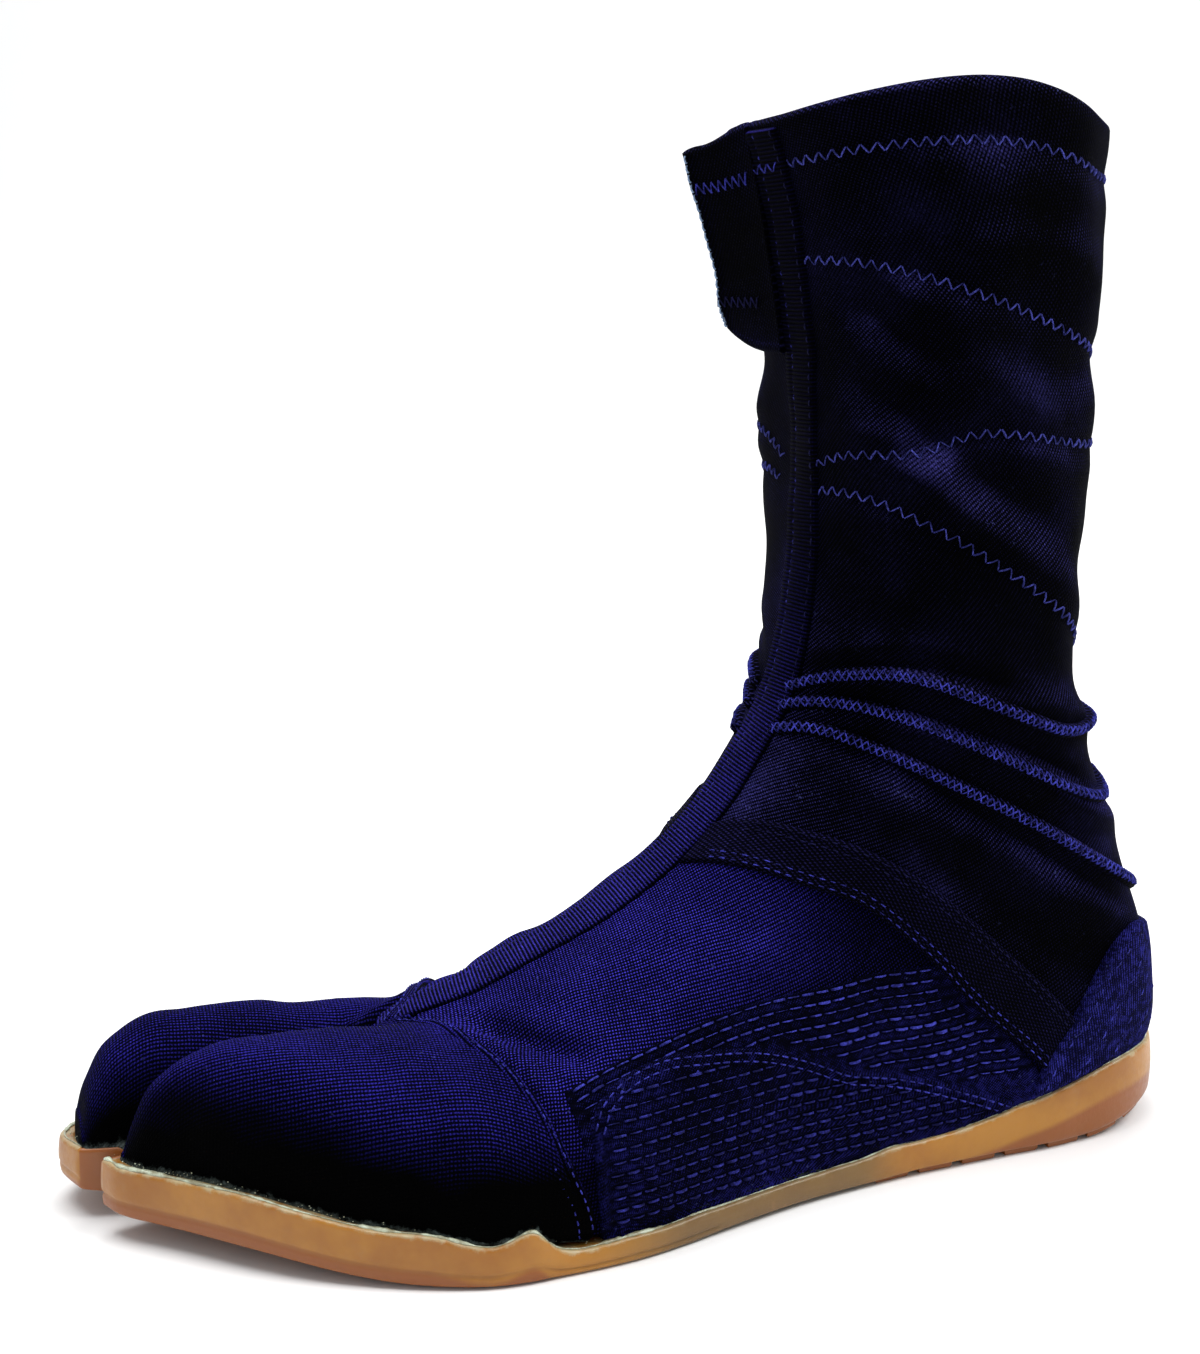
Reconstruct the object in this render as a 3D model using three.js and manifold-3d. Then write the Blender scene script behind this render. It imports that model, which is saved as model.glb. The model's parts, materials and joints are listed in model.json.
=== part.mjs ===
// A left split-toe work boot of cloth on a thin rubber sole, in millimetres.
// The origin is on the floor under the heel. Toes point along -Y, the outer side is +X and +Z is up.
import * as THREE from 'three';
import { mergeVertices } from 'three/addons/utils/BufferGeometryUtils.js';
import Module from 'manifold-3d';

// Driving dimensions
const FOOT_LENGTH = 270;
const HEEL_SETBACK = 38;
const BALL_WIDTH = 100;
const HEEL_WIDTH = 66;
const INSTEP_HEIGHT = 100;
const ANKLE_HEIGHT = 96;
const SHAFT_HEIGHT = 243;
const SHAFT_DEPTH = 75;
const SHAFT_WIDTH = 75;
const RIM_ARCH = 9;
const UPPER_WALL = 1.8;
const CLEARANCE = 0.3;
const SOLE_THICKNESS = 5.2;
const TREAD_HEIGHT = 2;
const TREAD_INSET = 1.2;
const TREAD_PITCH = 12;
const TREAD_GROOVE = 3;
const FOXING_HEIGHT = 11;
const FOXING_WALL = 3;
const TOE_SPRING = 6.6;
const TOE_SLIT = 3;
const INSOLE_THICKNESS = 2.5;
const PANEL_THICKNESS = 1.1;
const COUNTER_THICKNESS = 1.6;
const TAPE_WIDTH = 14;
const TAPE_THICKNESS = 1.2;
const TUCK_WIDTH = 3.4;
const TUCK_HEIGHT = 1.9;
const SEAM_WIDTH = 5;
const SEAM_HEIGHT = 1.1;
const FLAP_HEIGHT = 48;
const FLAP_LIFT = 7;
const FLAP_THICKNESS = 1.8;
const FLAP_MARGIN = 3;
const FLAP_CORNER = 6;

// Fineness of the facets
const FINE = {
  bodyTurns: [0, 18, 36, 54, 72, 90, 108, 126, 144, 162, 180, 203, 217, 225, 235, 252, 270, 288, 305, 315,
    323, 337],
  toeTurns: [0, 30, 60, 90, 120, 150, 180, 205, 225, 240, 270, 300, 315, 335],
  bendStep: 0.5,
};
const COARSE = {
  bodyTurns: [0, 24, 48, 72, 90, 108, 132, 156, 180, 205, 225, 247, 270, 293, 315, 335],
  toeTurns: [0, 30, 60, 90, 120, 150, 180, 208, 225, 270, 315, 332],
  bendStep: 1,
};
const BEND_START = 4;
const BEND_END = 11;
const EXTENSION = 6;
const TIP_BULGE = 1;
const FAR = 400;
const BELOW = -4;
const ABOVE = 100;

const wasm = await Module();
wasm.setup();

// The sole's underside rises in an even curve towards the toe tips.
const SPRING_START = 0.76;
const springAt = (share) => {
  const rise = Math.max(0, (share - SPRING_START) / (1 - SPRING_START));
  return TOE_SPRING * rise * rise;
};
const lengthwise = (share) => HEEL_SETBACK - share * FOOT_LENGTH;

// Sections of the foot, from the toe split back to the heel's lower corner. Lengths run from the heel's
// back as shares of FOOT_LENGTH, heights from the sole's top as shares of INSTEP_HEIGHT, and the middle and
// half widths are shares of BALL_WIDTH. "widest" is the share of the section that lies below its widest
// place, and the last three columns are how square the lower part, outer top and inner top are.
const FOOT_SECTIONS = [
  // base, top, rise, middle, inner, outer, widest, low, outerTop, innerTop
  [0.752, 0.752, 0.340, -0.050, 0.385, 0.440, 0.32, 6.0, 2.2, 2.2],
  [0.715, 0.726, 0.375, -0.060, 0.390, 0.510, 0.32, 6.0, 2.1, 2.1],
  [0.652, 0.659, 0.440, -0.060, 0.380, 0.540, 0.32, 6.5, 2.0, 2.1],
  [0.578, 0.593, 0.515, -0.060, 0.345, 0.530, 0.32, 7.5, 2.0, 2.2],
  [0.496, 0.530, 0.605, -0.060, 0.310, 0.470, 0.31, 9.0, 2.0, 2.3],
  [0.407, 0.474, 0.715, -0.050, 0.285, 0.400, 0.30, 9.0, 2.1, 2.4],
  [0.311, 0.433, 0.835, -0.040, 0.275, 0.355, 0.30, 9.0, 2.1, 2.5],
  [0.215, 0.406, 0.945, -0.030, 0.275, 0.335, 0.34, 8.0, 2.2, 2.6],
  [0.122, 0.385, 1.045, -0.020, 0.295, 0.335, 0.42, 5.5, 2.2, 2.8],
];

// Sections of the heel and ankle. Heights are shares of ANKLE_HEIGHT above the sole's top, and the middle
// and half widths are shares of HEEL_WIDTH.
const HEEL_SECTIONS = [
  // base, baseRise, top, rise, middle, inner, outer, widest, low, outerTop, innerTop
  [0.046, 0.025, 0.372, 1.180, -0.030, 0.475, 0.505, 0.46, 3.2, 2.2, 3.4],
  [0.012, 0.170, 0.363, 1.275, -0.030, 0.500, 0.520, 0.50, 2.6, 2.2, 3.6],
  [0.017, 0.380, 0.357, 1.380, -0.030, 0.515, 0.535, 0.50, 2.3, 2.2, 3.8],
  [0.042, 0.570, 0.353, 1.485, -0.030, 0.530, 0.545, 0.50, 2.2, 2.3, 3.9],
];

// Sections of the shaft. Depths are shares of SHAFT_DEPTH forward of the heel's back, heights are shares of
// the height from ankle to rim, and the middle and half widths are shares of SHAFT_WIDTH. "arch" is the
// share of RIM_ARCH by which the sides rise above front and back.
const SHAFT_SECTIONS = [
  // back, backRise, front, frontRise, middle, inner, outer, widest, low, outerTop, innerTop, arch
  [0.245, -0.125, 1.267, 0.425, -0.033, 0.485, 0.490, 0.50, 2.2, 2.3, 4.0, 0],
  [0.320, 0.005, 1.264, 0.500, -0.035, 0.495, 0.495, 0.50, 2.2, 2.4, 4.0, 0],
  [0.362, 0.150, 1.267, 0.575, -0.038, 0.500, 0.500, 0.50, 2.2, 2.4, 4.0, 0],
  [0.350, 0.340, 1.280, 0.670, -0.038, 0.500, 0.505, 0.50, 2.2, 2.4, 3.8, 0],
  [0.312, 0.545, 1.307, 0.765, -0.038, 0.505, 0.510, 0.50, 2.2, 2.4, 3.6, 0.05],
  [0.290, 0.755, 1.347, 0.878, -0.038, 0.515, 0.525, 0.50, 2.2, 2.4, 3.3, 0.35],
  [0.280, 0.980, 1.407, 1.000, -0.038, 0.530, 0.540, 0.50, 2.2, 2.4, 3.0, 1],
];

// Sections of the two toe lobes, from the tips back into the foot. Lengths are shares of FOOT_LENGTH,
// tops are shares of INSTEP_HEIGHT above the sole's top, and places across are shares of BALL_WIDTH.
const OUTER_TOES = [
  // length, top, crest, outerSide
  [0.958, 0.095, -0.085, -0.065],
  [0.949, 0.165, -0.070, -0.035],
  [0.933, 0.264, -0.050, 0.005],
  [0.908, 0.348, -0.025, 0.075],
  [0.874, 0.402, 0.015, 0.175],
  [0.830, 0.425, 0.050, 0.285],
  [0.785, 0.430, 0.070, 0.370],
  [0.741, 0.427, 0.080, 0.435],
  [0.700, 0.418, 0.090, 0.478],
  [0.663, 0.400, 0.120, 0.486],
  [0.630, 0.372, 0.150, 0.472],
  [0.585, 0.310, 0.180, 0.430],
];
const BIG_TOE = [
  // length, top, crest, outerSide
  [0.986, 0.115, -0.300, -0.340],
  [0.976, 0.190, -0.295, -0.375],
  [0.956, 0.280, -0.295, -0.408],
  [0.926, 0.350, -0.300, -0.432],
  [0.889, 0.368, -0.300, -0.446],
  [0.837, 0.375, -0.295, -0.455],
  [0.785, 0.370, -0.290, -0.454],
  [0.741, 0.368, -0.280, -0.448],
  [0.696, 0.365, -0.270, -0.435],
  [0.648, 0.355, -0.260, -0.405],
  [0.593, 0.325, -0.240, -0.340],
];
const SLIT_PLACE = -0.137;
const SLIT_ROUNDING = 0.05;
const SLIT_OPENS = 0.9;
const LOBE_MARGIN = 0.3;
const LOBE_WIDEST = 0.34;
const LOBE_LOW = 5.5;
const LOBE_TOP = 2.3;

// Turns each table row into a section in millimetres: its base and top in the YZ plane, its middle, its
// half widths and its squareness.
const footSections = FOOT_SECTIONS.map(
  ([base, top, rise, middle, inner, outer, widest, low, outerTop, innerTop]) => ({
    baseY: lengthwise(base),
    baseZ: SOLE_THICKNESS + CLEARANCE + springAt(base),
    topY: lengthwise(top),
    topZ: SOLE_THICKNESS + rise * INSTEP_HEIGHT,
    middle: middle * BALL_WIDTH,
    inner: inner * BALL_WIDTH,
    outer: outer * BALL_WIDTH,
    widest, low, outerTop, innerTop, arch: 0,
  }));
const heelSections = HEEL_SECTIONS.map(
  ([base, baseRise, top, rise, middle, inner, outer, widest, low, outerTop, innerTop]) => ({
    baseY: lengthwise(base),
    baseZ: SOLE_THICKNESS + baseRise * ANKLE_HEIGHT,
    topY: lengthwise(top),
    topZ: SOLE_THICKNESS + rise * ANKLE_HEIGHT,
    middle: middle * HEEL_WIDTH,
    inner: inner * HEEL_WIDTH,
    outer: outer * HEEL_WIDTH,
    widest, low, outerTop, innerTop, arch: 0,
  }));
const shaftRise = SHAFT_HEIGHT - ANKLE_HEIGHT;
const shaftSections = SHAFT_SECTIONS.map(
  ([back, backRise, front, frontRise, middle, inner, outer, widest, low, outerTop, innerTop, arch]) => ({
    baseY: HEEL_SETBACK - back * SHAFT_DEPTH,
    baseZ: ANKLE_HEIGHT + backRise * shaftRise,
    topY: HEEL_SETBACK - front * SHAFT_DEPTH,
    topZ: ANKLE_HEIGHT + frontRise * shaftRise,
    middle: middle * SHAFT_WIDTH,
    inner: inner * SHAFT_WIDTH,
    outer: outer * SHAFT_WIDTH,
    widest, low, outerTop, innerTop, arch: arch * RIM_ARCH,
  }));
const BODY = [...footSections, ...heelSections, ...shaftSections];

// A toe lobe has its flat side at the slit and its crest between slit and outer side. The slit's sides
// part in a round curve towards the tips.
const slitSide = (length, sign) => {
  const opening = Math.max(0, (length - SLIT_OPENS) / (1 - SLIT_OPENS)) ** 2 * SLIT_ROUNDING * BALL_WIDTH;
  return SLIT_PLACE * BALL_WIDTH + sign * (TOE_SLIT / 2 + opening);
};
const lobeSections = (rows, sign) => rows.map(([length, top, crest, outerSide]) => {
  const slit = slitSide(length, sign);
  const low = Math.min(slit, outerSide * BALL_WIDTH);
  const high = Math.max(slit, outerSide * BALL_WIDTH);
  const margin = LOBE_MARGIN * (high - low);
  const middle = Math.min(Math.max(crest * BALL_WIDTH, low + margin), high - margin);
  return {
    baseY: lengthwise(length),
    baseZ: SOLE_THICKNESS + CLEARANCE + springAt(length),
    topY: lengthwise(length),
    topZ: SOLE_THICKNESS + top * INSTEP_HEIGHT + springAt(length),
    middle,
    inner: middle - low,
    outer: high - middle,
    widest: LOBE_WIDEST, low: LOBE_LOW, outerTop: LOBE_TOP, innerTop: LOBE_TOP, arch: 0,
  };
});
const OUTER_LOBE = lobeSections(OUTER_TOES, 1);
const INNER_LOBE = lobeSections(BIG_TOE, -1);

// Runs a smooth curve through the sections' values. "place" counts sections from the toe end.
const sectionAt = (sections, place) => {
  const last = sections.length - 1;
  const index = Math.min(Math.max(Math.floor(place), 0), last - 1);
  const t = place - index;
  const between = {};
  for (const key of Object.keys(sections[0])) {
    const b = sections[index][key];
    const c = sections[index + 1][key];
    const a = index > 0 ? sections[index - 1][key] : 2 * b - c;
    const d = index + 2 <= last ? sections[index + 2][key] : 2 * c - b;
    between[key] = 0.5 * (2 * b + (c - a) * t + (2 * a - 5 * b + 4 * c - d) * t * t
      + (3 * b - a - 3 * c + d) * t * t * t);
  }
  return between;
};

// A point of the form: "turn" goes round the section in degrees, 0 at the outer side, 90 at the top or
// front, 180 at the inner side and 270 underneath or at the back.
const formPoint = (sections, place, turn) => {
  const s = sectionAt(sections, place);
  const c = Math.cos(THREE.MathUtils.degToRad(turn));
  const q = Math.sin(THREE.MathUtils.degToRad(turn));
  const squareness = q < 0 ? s.low : (c >= 0 ? s.outerTop : s.innerTop);
  const reach = (Math.abs(c) ** squareness + Math.abs(q) ** squareness) ** (-1 / squareness);
  const rise = q >= 0 ? 1 - s.widest : s.widest;
  const along = s.widest + q * reach * rise;
  return new THREE.Vector3(
    s.middle + c * reach * (c >= 0 ? s.outer : s.inner),
    s.baseY + along * (s.topY - s.baseY),
    s.baseZ + along * (s.topZ - s.baseZ) + s.arch * c * c,
  );
};
const NUDGE = 0.02;
const formNormal = (sections, place, turn) => {
  const last = sections.length - 1;
  const along = formPoint(sections, Math.min(place + NUDGE, last), turn)
    .sub(formPoint(sections, Math.max(place - NUDGE, 0), turn));
  const around = formPoint(sections, place, turn + 1).sub(formPoint(sections, place, turn - 1));
  return along.cross(around).normalize();
};
const skin = (sections, place, turn, offset) =>
  formPoint(sections, place, turn).addScaledVector(formNormal(sections, place, turn), offset);

// Makes a solid from a closed list of triangles.
const solidOf = (points, faces) => {
  const geometry = new THREE.BufferGeometry();
  const flat = points.flatMap((p) => [p.x, p.y, p.z]);
  geometry.setAttribute('position', new THREE.Float32BufferAttribute(flat, 3));
  geometry.setIndex(faces.flat());
  const merged = mergeVertices(geometry, 1e-4);
  return new wasm.Manifold(new wasm.Mesh({
    numProp: 3,
    vertProperties: new Float32Array(merged.attributes.position.array),
    triVerts: new Uint32Array(merged.index.array),
  }));
};

const outwardSolid = (points, faces) => {
  const solid = solidOf(points, faces);
  return solid.volume() < 0 ? solidOf(points, faces.map(([a, b, c]) => [a, c, b])) : solid;
};

// Closes a stack of rings with equal point counts. Each end is a fan round a given point.
const solidOfRings = (rings, startPoint, endPoint) => {
  const count = rings[0].length;
  const points = rings.flat();
  const faces = [];
  for (let ring = 0; ring + 1 < rings.length; ring += 1) {
    for (let i = 0; i < count; i += 1) {
      const j = (i + 1) % count;
      const a = ring * count;
      const b = a + count;
      faces.push([a + i, b + i, b + j], [a + i, b + j, a + j]);
    }
  }
  const start = points.push(startPoint) - 1;
  const end = points.push(endPoint) - 1;
  const final = (rings.length - 1) * count;
  for (let i = 0; i < count; i += 1) {
    const j = (i + 1) % count;
    faces.push([start, i, j], [end, final + j, final + i]);
  }
  return solidOf(points, faces);
};
const centreOf = (ring) => ring.reduce((sum, p) => sum.add(p), new THREE.Vector3()).divideScalar(ring.length);

// The whole form at a distance from its own surface, moved down by "drop". "extend" carries the shaft's
// open end past its rim.
const places = (from, to, step) => {
  const count = Math.round((to - from) / step);
  return Array.from({ length: count + 1 }, (_, i) => from + (to - from) * i / count);
};
const loft = (sections, offset, stops, turns, extend) => {
  const rings = stops.map((place) => turns.map((turn) => skin(sections, place, turn, offset)));
  if (extend) {
    rings.push(rings.at(-1).map((p) => p.clone().add(new THREE.Vector3(0, 0, EXTENSION))));
  }
  return { rings, startPoint: centreOf(rings[0]), endPoint: centreOf(rings.at(-1)) };
};
const form = (offset, { drop = 0, extend = false, grain = FINE } = {}) => {
  const stops = [
    ...places(0, BEND_START - 1, 1),
    ...places(BEND_START, BEND_END, grain.bendStep),
    ...places(BEND_END + 1, BODY.length - 1, 1),
  ];
  const body = loft(BODY, offset, stops, grain.bodyTurns, extend);
  let whole = solidOfRings(body.rings, body.startPoint, body.endPoint);
  for (const sections of [OUTER_LOBE, INNER_LOBE]) {
    const lobe = loft(sections, offset, places(0, sections.length - 1, 1), grain.toeTurns, false);
    lobe.startPoint.y -= TIP_BULGE + offset;
    whole = whole.add(solidOfRings(lobe.rings, lobe.startPoint, lobe.endPoint));
  }
  return drop ? whole.translate([0, 0, -drop]) : whole;
};

// The sole's edge, as places on the form that lie level with the foxing. "rim" is the foxing's height there
// as a share of FOXING_HEIGHT above the sole's top. The inner side mirrors the turns of the outer one.
const OUTER_TOE_EDGE = [
  // place, turn, rim
  [0, -35, 0.60],
  [1, -35, 0.61],
  [2, -35, 0.62],
  [3, -35, 0.62],
  [4, -35, 0.62],
  [5, -35, 0.61],
  [6, -36, 0.60],
  [7, -37, 0.59],
  [8, -38, 0.58],
  [8.8, -38, 0.58],
];
const SIDE_EDGE = [
  // place, turn, rim
  [2.1, -38, 0.20],
  [3, -40, 0.15],
  [4, -41, 0.16],
  [5, -42, 0.22],
  [6, -43, 0.32],
  [6.6, -44, 0.44],
  [7.2, -45, 0.58],
  [7.9, -46, 0.94],
  [8.5, -50, 1.24],
  [9.1, -62, 1.30],
  [9.4, -76, 1.32],
  [9.5, -90, 1.32],
];
const BIG_TOE_EDGE = [
  // place, turn, rim
  [8.6, -36, 0.57],
  [8, -36, 0.58],
  [7, -35, 0.58],
  [6, -35, 0.57],
  [5, -35, 0.55],
  [4, -35, 0.50],
  [3, -35, 0.45],
  [2, -35, 0.40],
  [1, -35, 0.37],
  [0, -35, 0.36],
];
const SOLE_POINTS = 60;
const FOXING_BEVEL = 0.7;
const RIM_SHELF = 8;

const rimHeight = (y, rim) =>
  SOLE_THICKNESS + springAt((HEEL_SETBACK - y) / FOOT_LENGTH) + rim * FOXING_HEIGHT;
const edgePoint = (sections, [place, turn, rim]) => {
  const outward = formNormal(sections, place, turn).setZ(0).normalize();
  const point = formPoint(sections, place, turn).addScaledVector(outward, CLEARANCE + FOXING_WALL);
  return new THREE.Vector3(point.x, point.y, rim);
};
const tipPoint = (sections, rim) => {
  const tip = sections[0];
  return new THREE.Vector3(tip.middle, tip.baseY - TIP_BULGE - CLEARANCE - FOXING_WALL, rim);
};
const mirrored = (rows) => rows.map(([place, turn, ...rest]) => [place, 180 - turn, ...rest]);
const soleCurve = new THREE.CatmullRomCurve3([
  tipPoint(OUTER_LOBE, OUTER_TOE_EDGE[0][2]),
  ...OUTER_TOE_EDGE.map((row) => edgePoint(OUTER_LOBE, row)),
  ...SIDE_EDGE.map((row) => edgePoint(BODY, row)),
  ...mirrored(SIDE_EDGE).slice(0, -1).reverse().map((row) => edgePoint(BODY, row)),
  ...mirrored(BIG_TOE_EDGE).map((row) => edgePoint(INNER_LOBE, row)),
  tipPoint(INNER_LOBE, BIG_TOE_EDGE.at(-1)[2]),
], true, 'centripetal');
const soleEdge = soleCurve.getSpacedPoints(SOLE_POINTS).slice(0, SOLE_POINTS);

// The sole's edge moved inward, as a ring at heights given point by point.
const soleRing = (inset, heightOf) => soleEdge.map((point, i) => {
  const before = soleEdge[(i + SOLE_POINTS - 1) % SOLE_POINTS];
  const after = soleEdge[(i + 1) % SOLE_POINTS];
  const inward = new THREE.Vector3(before.y - after.y, after.x - before.x, 0).normalize();
  const moved = new THREE.Vector3(point.x, point.y, 0).addScaledVector(inward, inset);
  return moved.setZ(heightOf(point));
});

const flatRing = (inset) => soleRing(inset, () => 0).map((p) => new THREE.Vector2(p.x, p.y));

// Extrudes a closed outline. The matrix carries the outline's own X, Y and depth into the shoe's axes.
const extruded = (outline, depth, matrix = new THREE.Matrix4()) => {
  const geometry = new THREE.ExtrudeGeometry(new THREE.Shape(outline), { depth, bevelEnabled: false });
  geometry.applyMatrix4(matrix);
  geometry.deleteAttribute('normal');
  geometry.deleteAttribute('uv');
  const merged = mergeVertices(geometry, 1e-4);
  return new wasm.Manifold(new wasm.Mesh({
    numProp: 3,
    vertProperties: new Float32Array(merged.attributes.position.array),
    triVerts: new Uint32Array(merged.index.array),
  }));
};
const fromAbove = (outline, low, high) =>
  extruded(outline, high - low, new THREE.Matrix4().makeTranslation(0, 0, low));
const SIDE_VIEW = new THREE.Matrix4().makeBasis(
  new THREE.Vector3(0, 1, 0), new THREE.Vector3(0, 0, 1), new THREE.Vector3(1, 0, 0),
).setPosition(-FAR / 2, 0, 0);

// A layer right through the sole's length, which follows the toe spring, between two heights over its
// underside and two shares of the length.
const SPRING_STEPS = 8;
const SPRING_END = 1.02;
const BEHIND_HEEL = -0.1;
const PAST_TOES = 1.1;
const layer = (low, high, from = BEHIND_HEEL, to = PAST_TOES) => {
  const stops = [from];
  for (let i = 0; i <= SPRING_STEPS; i += 1) {
    stops.push(SPRING_START + (SPRING_END - SPRING_START) * i / SPRING_STEPS);
  }
  const along = [...stops.filter((share, i) => i === 0 || (share > from && share < to)), to];
  const under = along.map((share) => new THREE.Vector2(lengthwise(share), springAt(share) + low));
  const over = along.map((share) => new THREE.Vector2(lengthwise(share), springAt(share) + high));
  return extruded([...over, ...under.reverse()], FAR, SIDE_VIEW);
};

// The sole: a block under the foxing's rim with the form sunk in it, the toe split cut through and bars of
// tread under heel and forefoot.
const HEEL_TREAD_END = 0.32;
const BALL_TREAD_START = 0.50;
const TREAD_BITE = 0.5;
const SPLIT_START = 0.757;
const SPLIT_MARGIN = 0.5;
const SPLIT_LIP = 1.6;
const SPLIT_NOTCH_END = 0.955;
const SPLIT_END = 1.04;
const SPLIT_STEP = 0.03;
const block = (grow) => {
  const rings = [
    soleRing(-grow, () => BELOW),
    soleRing(-grow, (p) => rimHeight(p.y, p.z) + grow - FOXING_BEVEL),
    soleRing(FOXING_BEVEL - grow, (p) => rimHeight(p.y, p.z) + grow),
    soleRing(RIM_SHELF, (p) => rimHeight(p.y, p.z) + grow),
  ];
  return solidOfPrism(rings);
};
function solidOfPrism(rings) {
  const count = rings[0].length;
  const points = rings.flat();
  const faces = [];
  for (let ring = 0; ring + 1 < rings.length; ring += 1) {
    for (let i = 0; i < count; i += 1) {
      const j = (i + 1) % count;
      const a = ring * count;
      const b = a + count;
      faces.push([a + i, a + j, b + j], [a + i, b + j, b + i]);
    }
  }
  const final = (rings.length - 1) * count;
  const flat = (ring) => ring.map((p) => new THREE.Vector2(p.x, p.y));
  for (const [a, b, c] of THREE.ShapeUtils.triangulateShape(flat(rings[0]), [])) {
    faces.push([a, c, b]);
  }
  for (const [a, b, c] of THREE.ShapeUtils.triangulateShape(flat(rings.at(-1)), [])) {
    faces.push([final + a, final + b, final + c]);
  }
  return solidOf(points, faces);
}

// The gap between the toes, from the crotch forward, widened by a margin on each side.
const split = (margin, from, to, low) => {
  const stops = places(from, to, SPLIT_STEP);
  const outer = stops.map((share) => new THREE.Vector2(slitSide(share, 1) + margin, lengthwise(share)));
  const inner = stops.map((share) => new THREE.Vector2(slitSide(share, -1) - margin, lengthwise(share)));
  const outline = [...outer, ...inner.reverse()];
  return fromAbove(outline, BELOW, FAR).subtract(layer(-FAR, low));
};
const makeOutsole = () => {
  const cup = block(0).intersect(layer(TREAD_HEIGHT, FAR));
  const pad = fromAbove(flatRing(TREAD_INSET), BELOW, ABOVE)
    .intersect(layer(0, TREAD_HEIGHT + TREAD_BITE));
  let tread = pad.intersect(layer(BELOW, FAR, BEHIND_HEEL, HEEL_TREAD_END))
    .add(pad.intersect(layer(BELOW, FAR, BALL_TREAD_START, PAST_TOES)));
  const firstBar = TREAD_PITCH / 2 - TREAD_PITCH * Math.ceil(HEEL_SETBACK / TREAD_PITCH);
  for (let y = -firstBar; y > HEEL_SETBACK - FOOT_LENGTH; y -= TREAD_PITCH) {
    const from = (HEEL_SETBACK - y) / FOOT_LENGTH - TREAD_GROOVE / 2 / FOOT_LENGTH;
    const groove = layer(BELOW, TREAD_HEIGHT, from, from + TREAD_GROOVE / FOOT_LENGTH);
    tread = tread.subtract(groove);
  }
  return cup.add(tread)
    .subtract(form(CLEARANCE))
    .subtract(split(-SPLIT_MARGIN, SPLIT_START, SPLIT_END, -TREAD_HEIGHT))
    .subtract(split(SPLIT_LIP, SPLIT_START, SPLIT_NOTCH_END, SOLE_THICKNESS + CLEARANCE));
};

// The upper: the form less the same form inside its wall, open at the rim and over the sole's floor.
const FLOOR_CUT = 4;
const FLOOR_LEDGE = 2;
const FLOOR_DROP = 3;
const makeUpper = (grow = 0) => {
  const wall = UPPER_WALL + grow;
  const inset = FOXING_WALL + CLEARANCE + wall + FLOOR_LEDGE;
  const opening = fromAbove(flatRing(inset), 0, ABOVE);
  const floor = form(-wall, { drop: wall + FLOOR_DROP, grain: COARSE }).add(opening)
    .intersect(layer(BELOW, SOLE_THICKNESS + FLOOR_CUT));
  return form(grow).subtract(form(-wall, { extend: true, grain: COARSE })).subtract(floor);
};

// The insole lies on the sole's floor inside the upper's wall.
const INSOLE_END = 0.945;
const makeInsole = () => {
  const inset = UPPER_WALL + 2 * CLEARANCE;
  return form(-inset, { drop: inset - CLEARANCE, grain: COARSE })
    .intersect(layer(BELOW, SOLE_THICKNESS + CLEARANCE + INSOLE_THICKNESS, BEHIND_HEEL, INSOLE_END))
    .subtract(makeUpper(CLEARANCE));
};

// The place on the body whose front lies at a given height.
const placeAtHeight = (height) => {
  let low = 0;
  let high = BODY.length - 1;
  while (high - low > 1e-4) {
    const middle = (low + high) / 2;
    if (formPoint(BODY, middle, 90).z < height) {
      low = middle;
    } else {
      high = middle;
    }
  }
  return (low + high) / 2;
};

// Overlays lie on the upper as parts of a thin shell. A path or an edge is a short list of places and turns
// on the body, with a smooth curve run through it.
const ROOM_STEP = 0.03;
const ROOM_TURN = 1.2;
const COUNTER_FRONT = 4;
const LOWER_FRONT = 3;
const TAPE_STATIONS = 10;
const TUCK_STATIONS = 14;
const SEAM_STATIONS = 8;
const BAND_STATIONS = 8;
const LOWER_STATIONS = 8;
const UPPER_STATIONS = 7;
const COUNTER_STATIONS = 13;
const DEGREES_PER_PLACE = 20;
const REACH_IN = 3;
const REACH_OUT = 14;
const smooth = (rows, count) => {
  const curve = new THREE.CatmullRomCurve3(rows.map(([place, turn]) =>
    new THREE.Vector3(place, turn / DEGREES_PER_PLACE, 0)), false, 'centripetal');
  return curve.getSpacedPoints(count - 1).map((p) => [p.x, p.y * DEGREES_PER_PLACE]);
};
const beam = (stations) => {
  const corners = stations[0].length;
  const faces = [];
  for (let i = 0; i + 1 < stations.length; i += 1) {
    for (let k = 0; k < corners; k += 1) {
      const a = corners * i + k;
      const b = corners * i + (k + 1) % corners;
      faces.push([a, b, b + corners], [a, b + corners, a + corners]);
    }
  }
  const last = corners * (stations.length - 1);
  for (let k = 1; k + 1 < corners; k += 1) {
    faces.push([0, k + 1, k], [last, last + k, last + k + 1]);
  }
  return outwardSolid(stations.flat(), faces);
};
// A strip of even width along a path.
const strip = (path, width, count) => {
  const stations = smooth(path, count);
  return beam(stations.map(([place, turn], i) => {
    const [p0, t0] = stations[Math.max(i - 1, 0)];
    const [p1, t1] = stations[Math.min(i + 1, count - 1)];
    const along = formPoint(BODY, p1, t1).sub(formPoint(BODY, p0, t0));
    const normal = formNormal(BODY, place, turn);
    const side = normal.clone().cross(along).normalize().multiplyScalar(width / 2);
    const low = skin(BODY, place, turn, -REACH_IN);
    const high = skin(BODY, place, turn, REACH_OUT / 2);
    return [low.clone().sub(side), low.clone().add(side), high.clone().add(side), high.clone().sub(side)];
  }));
};
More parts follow.
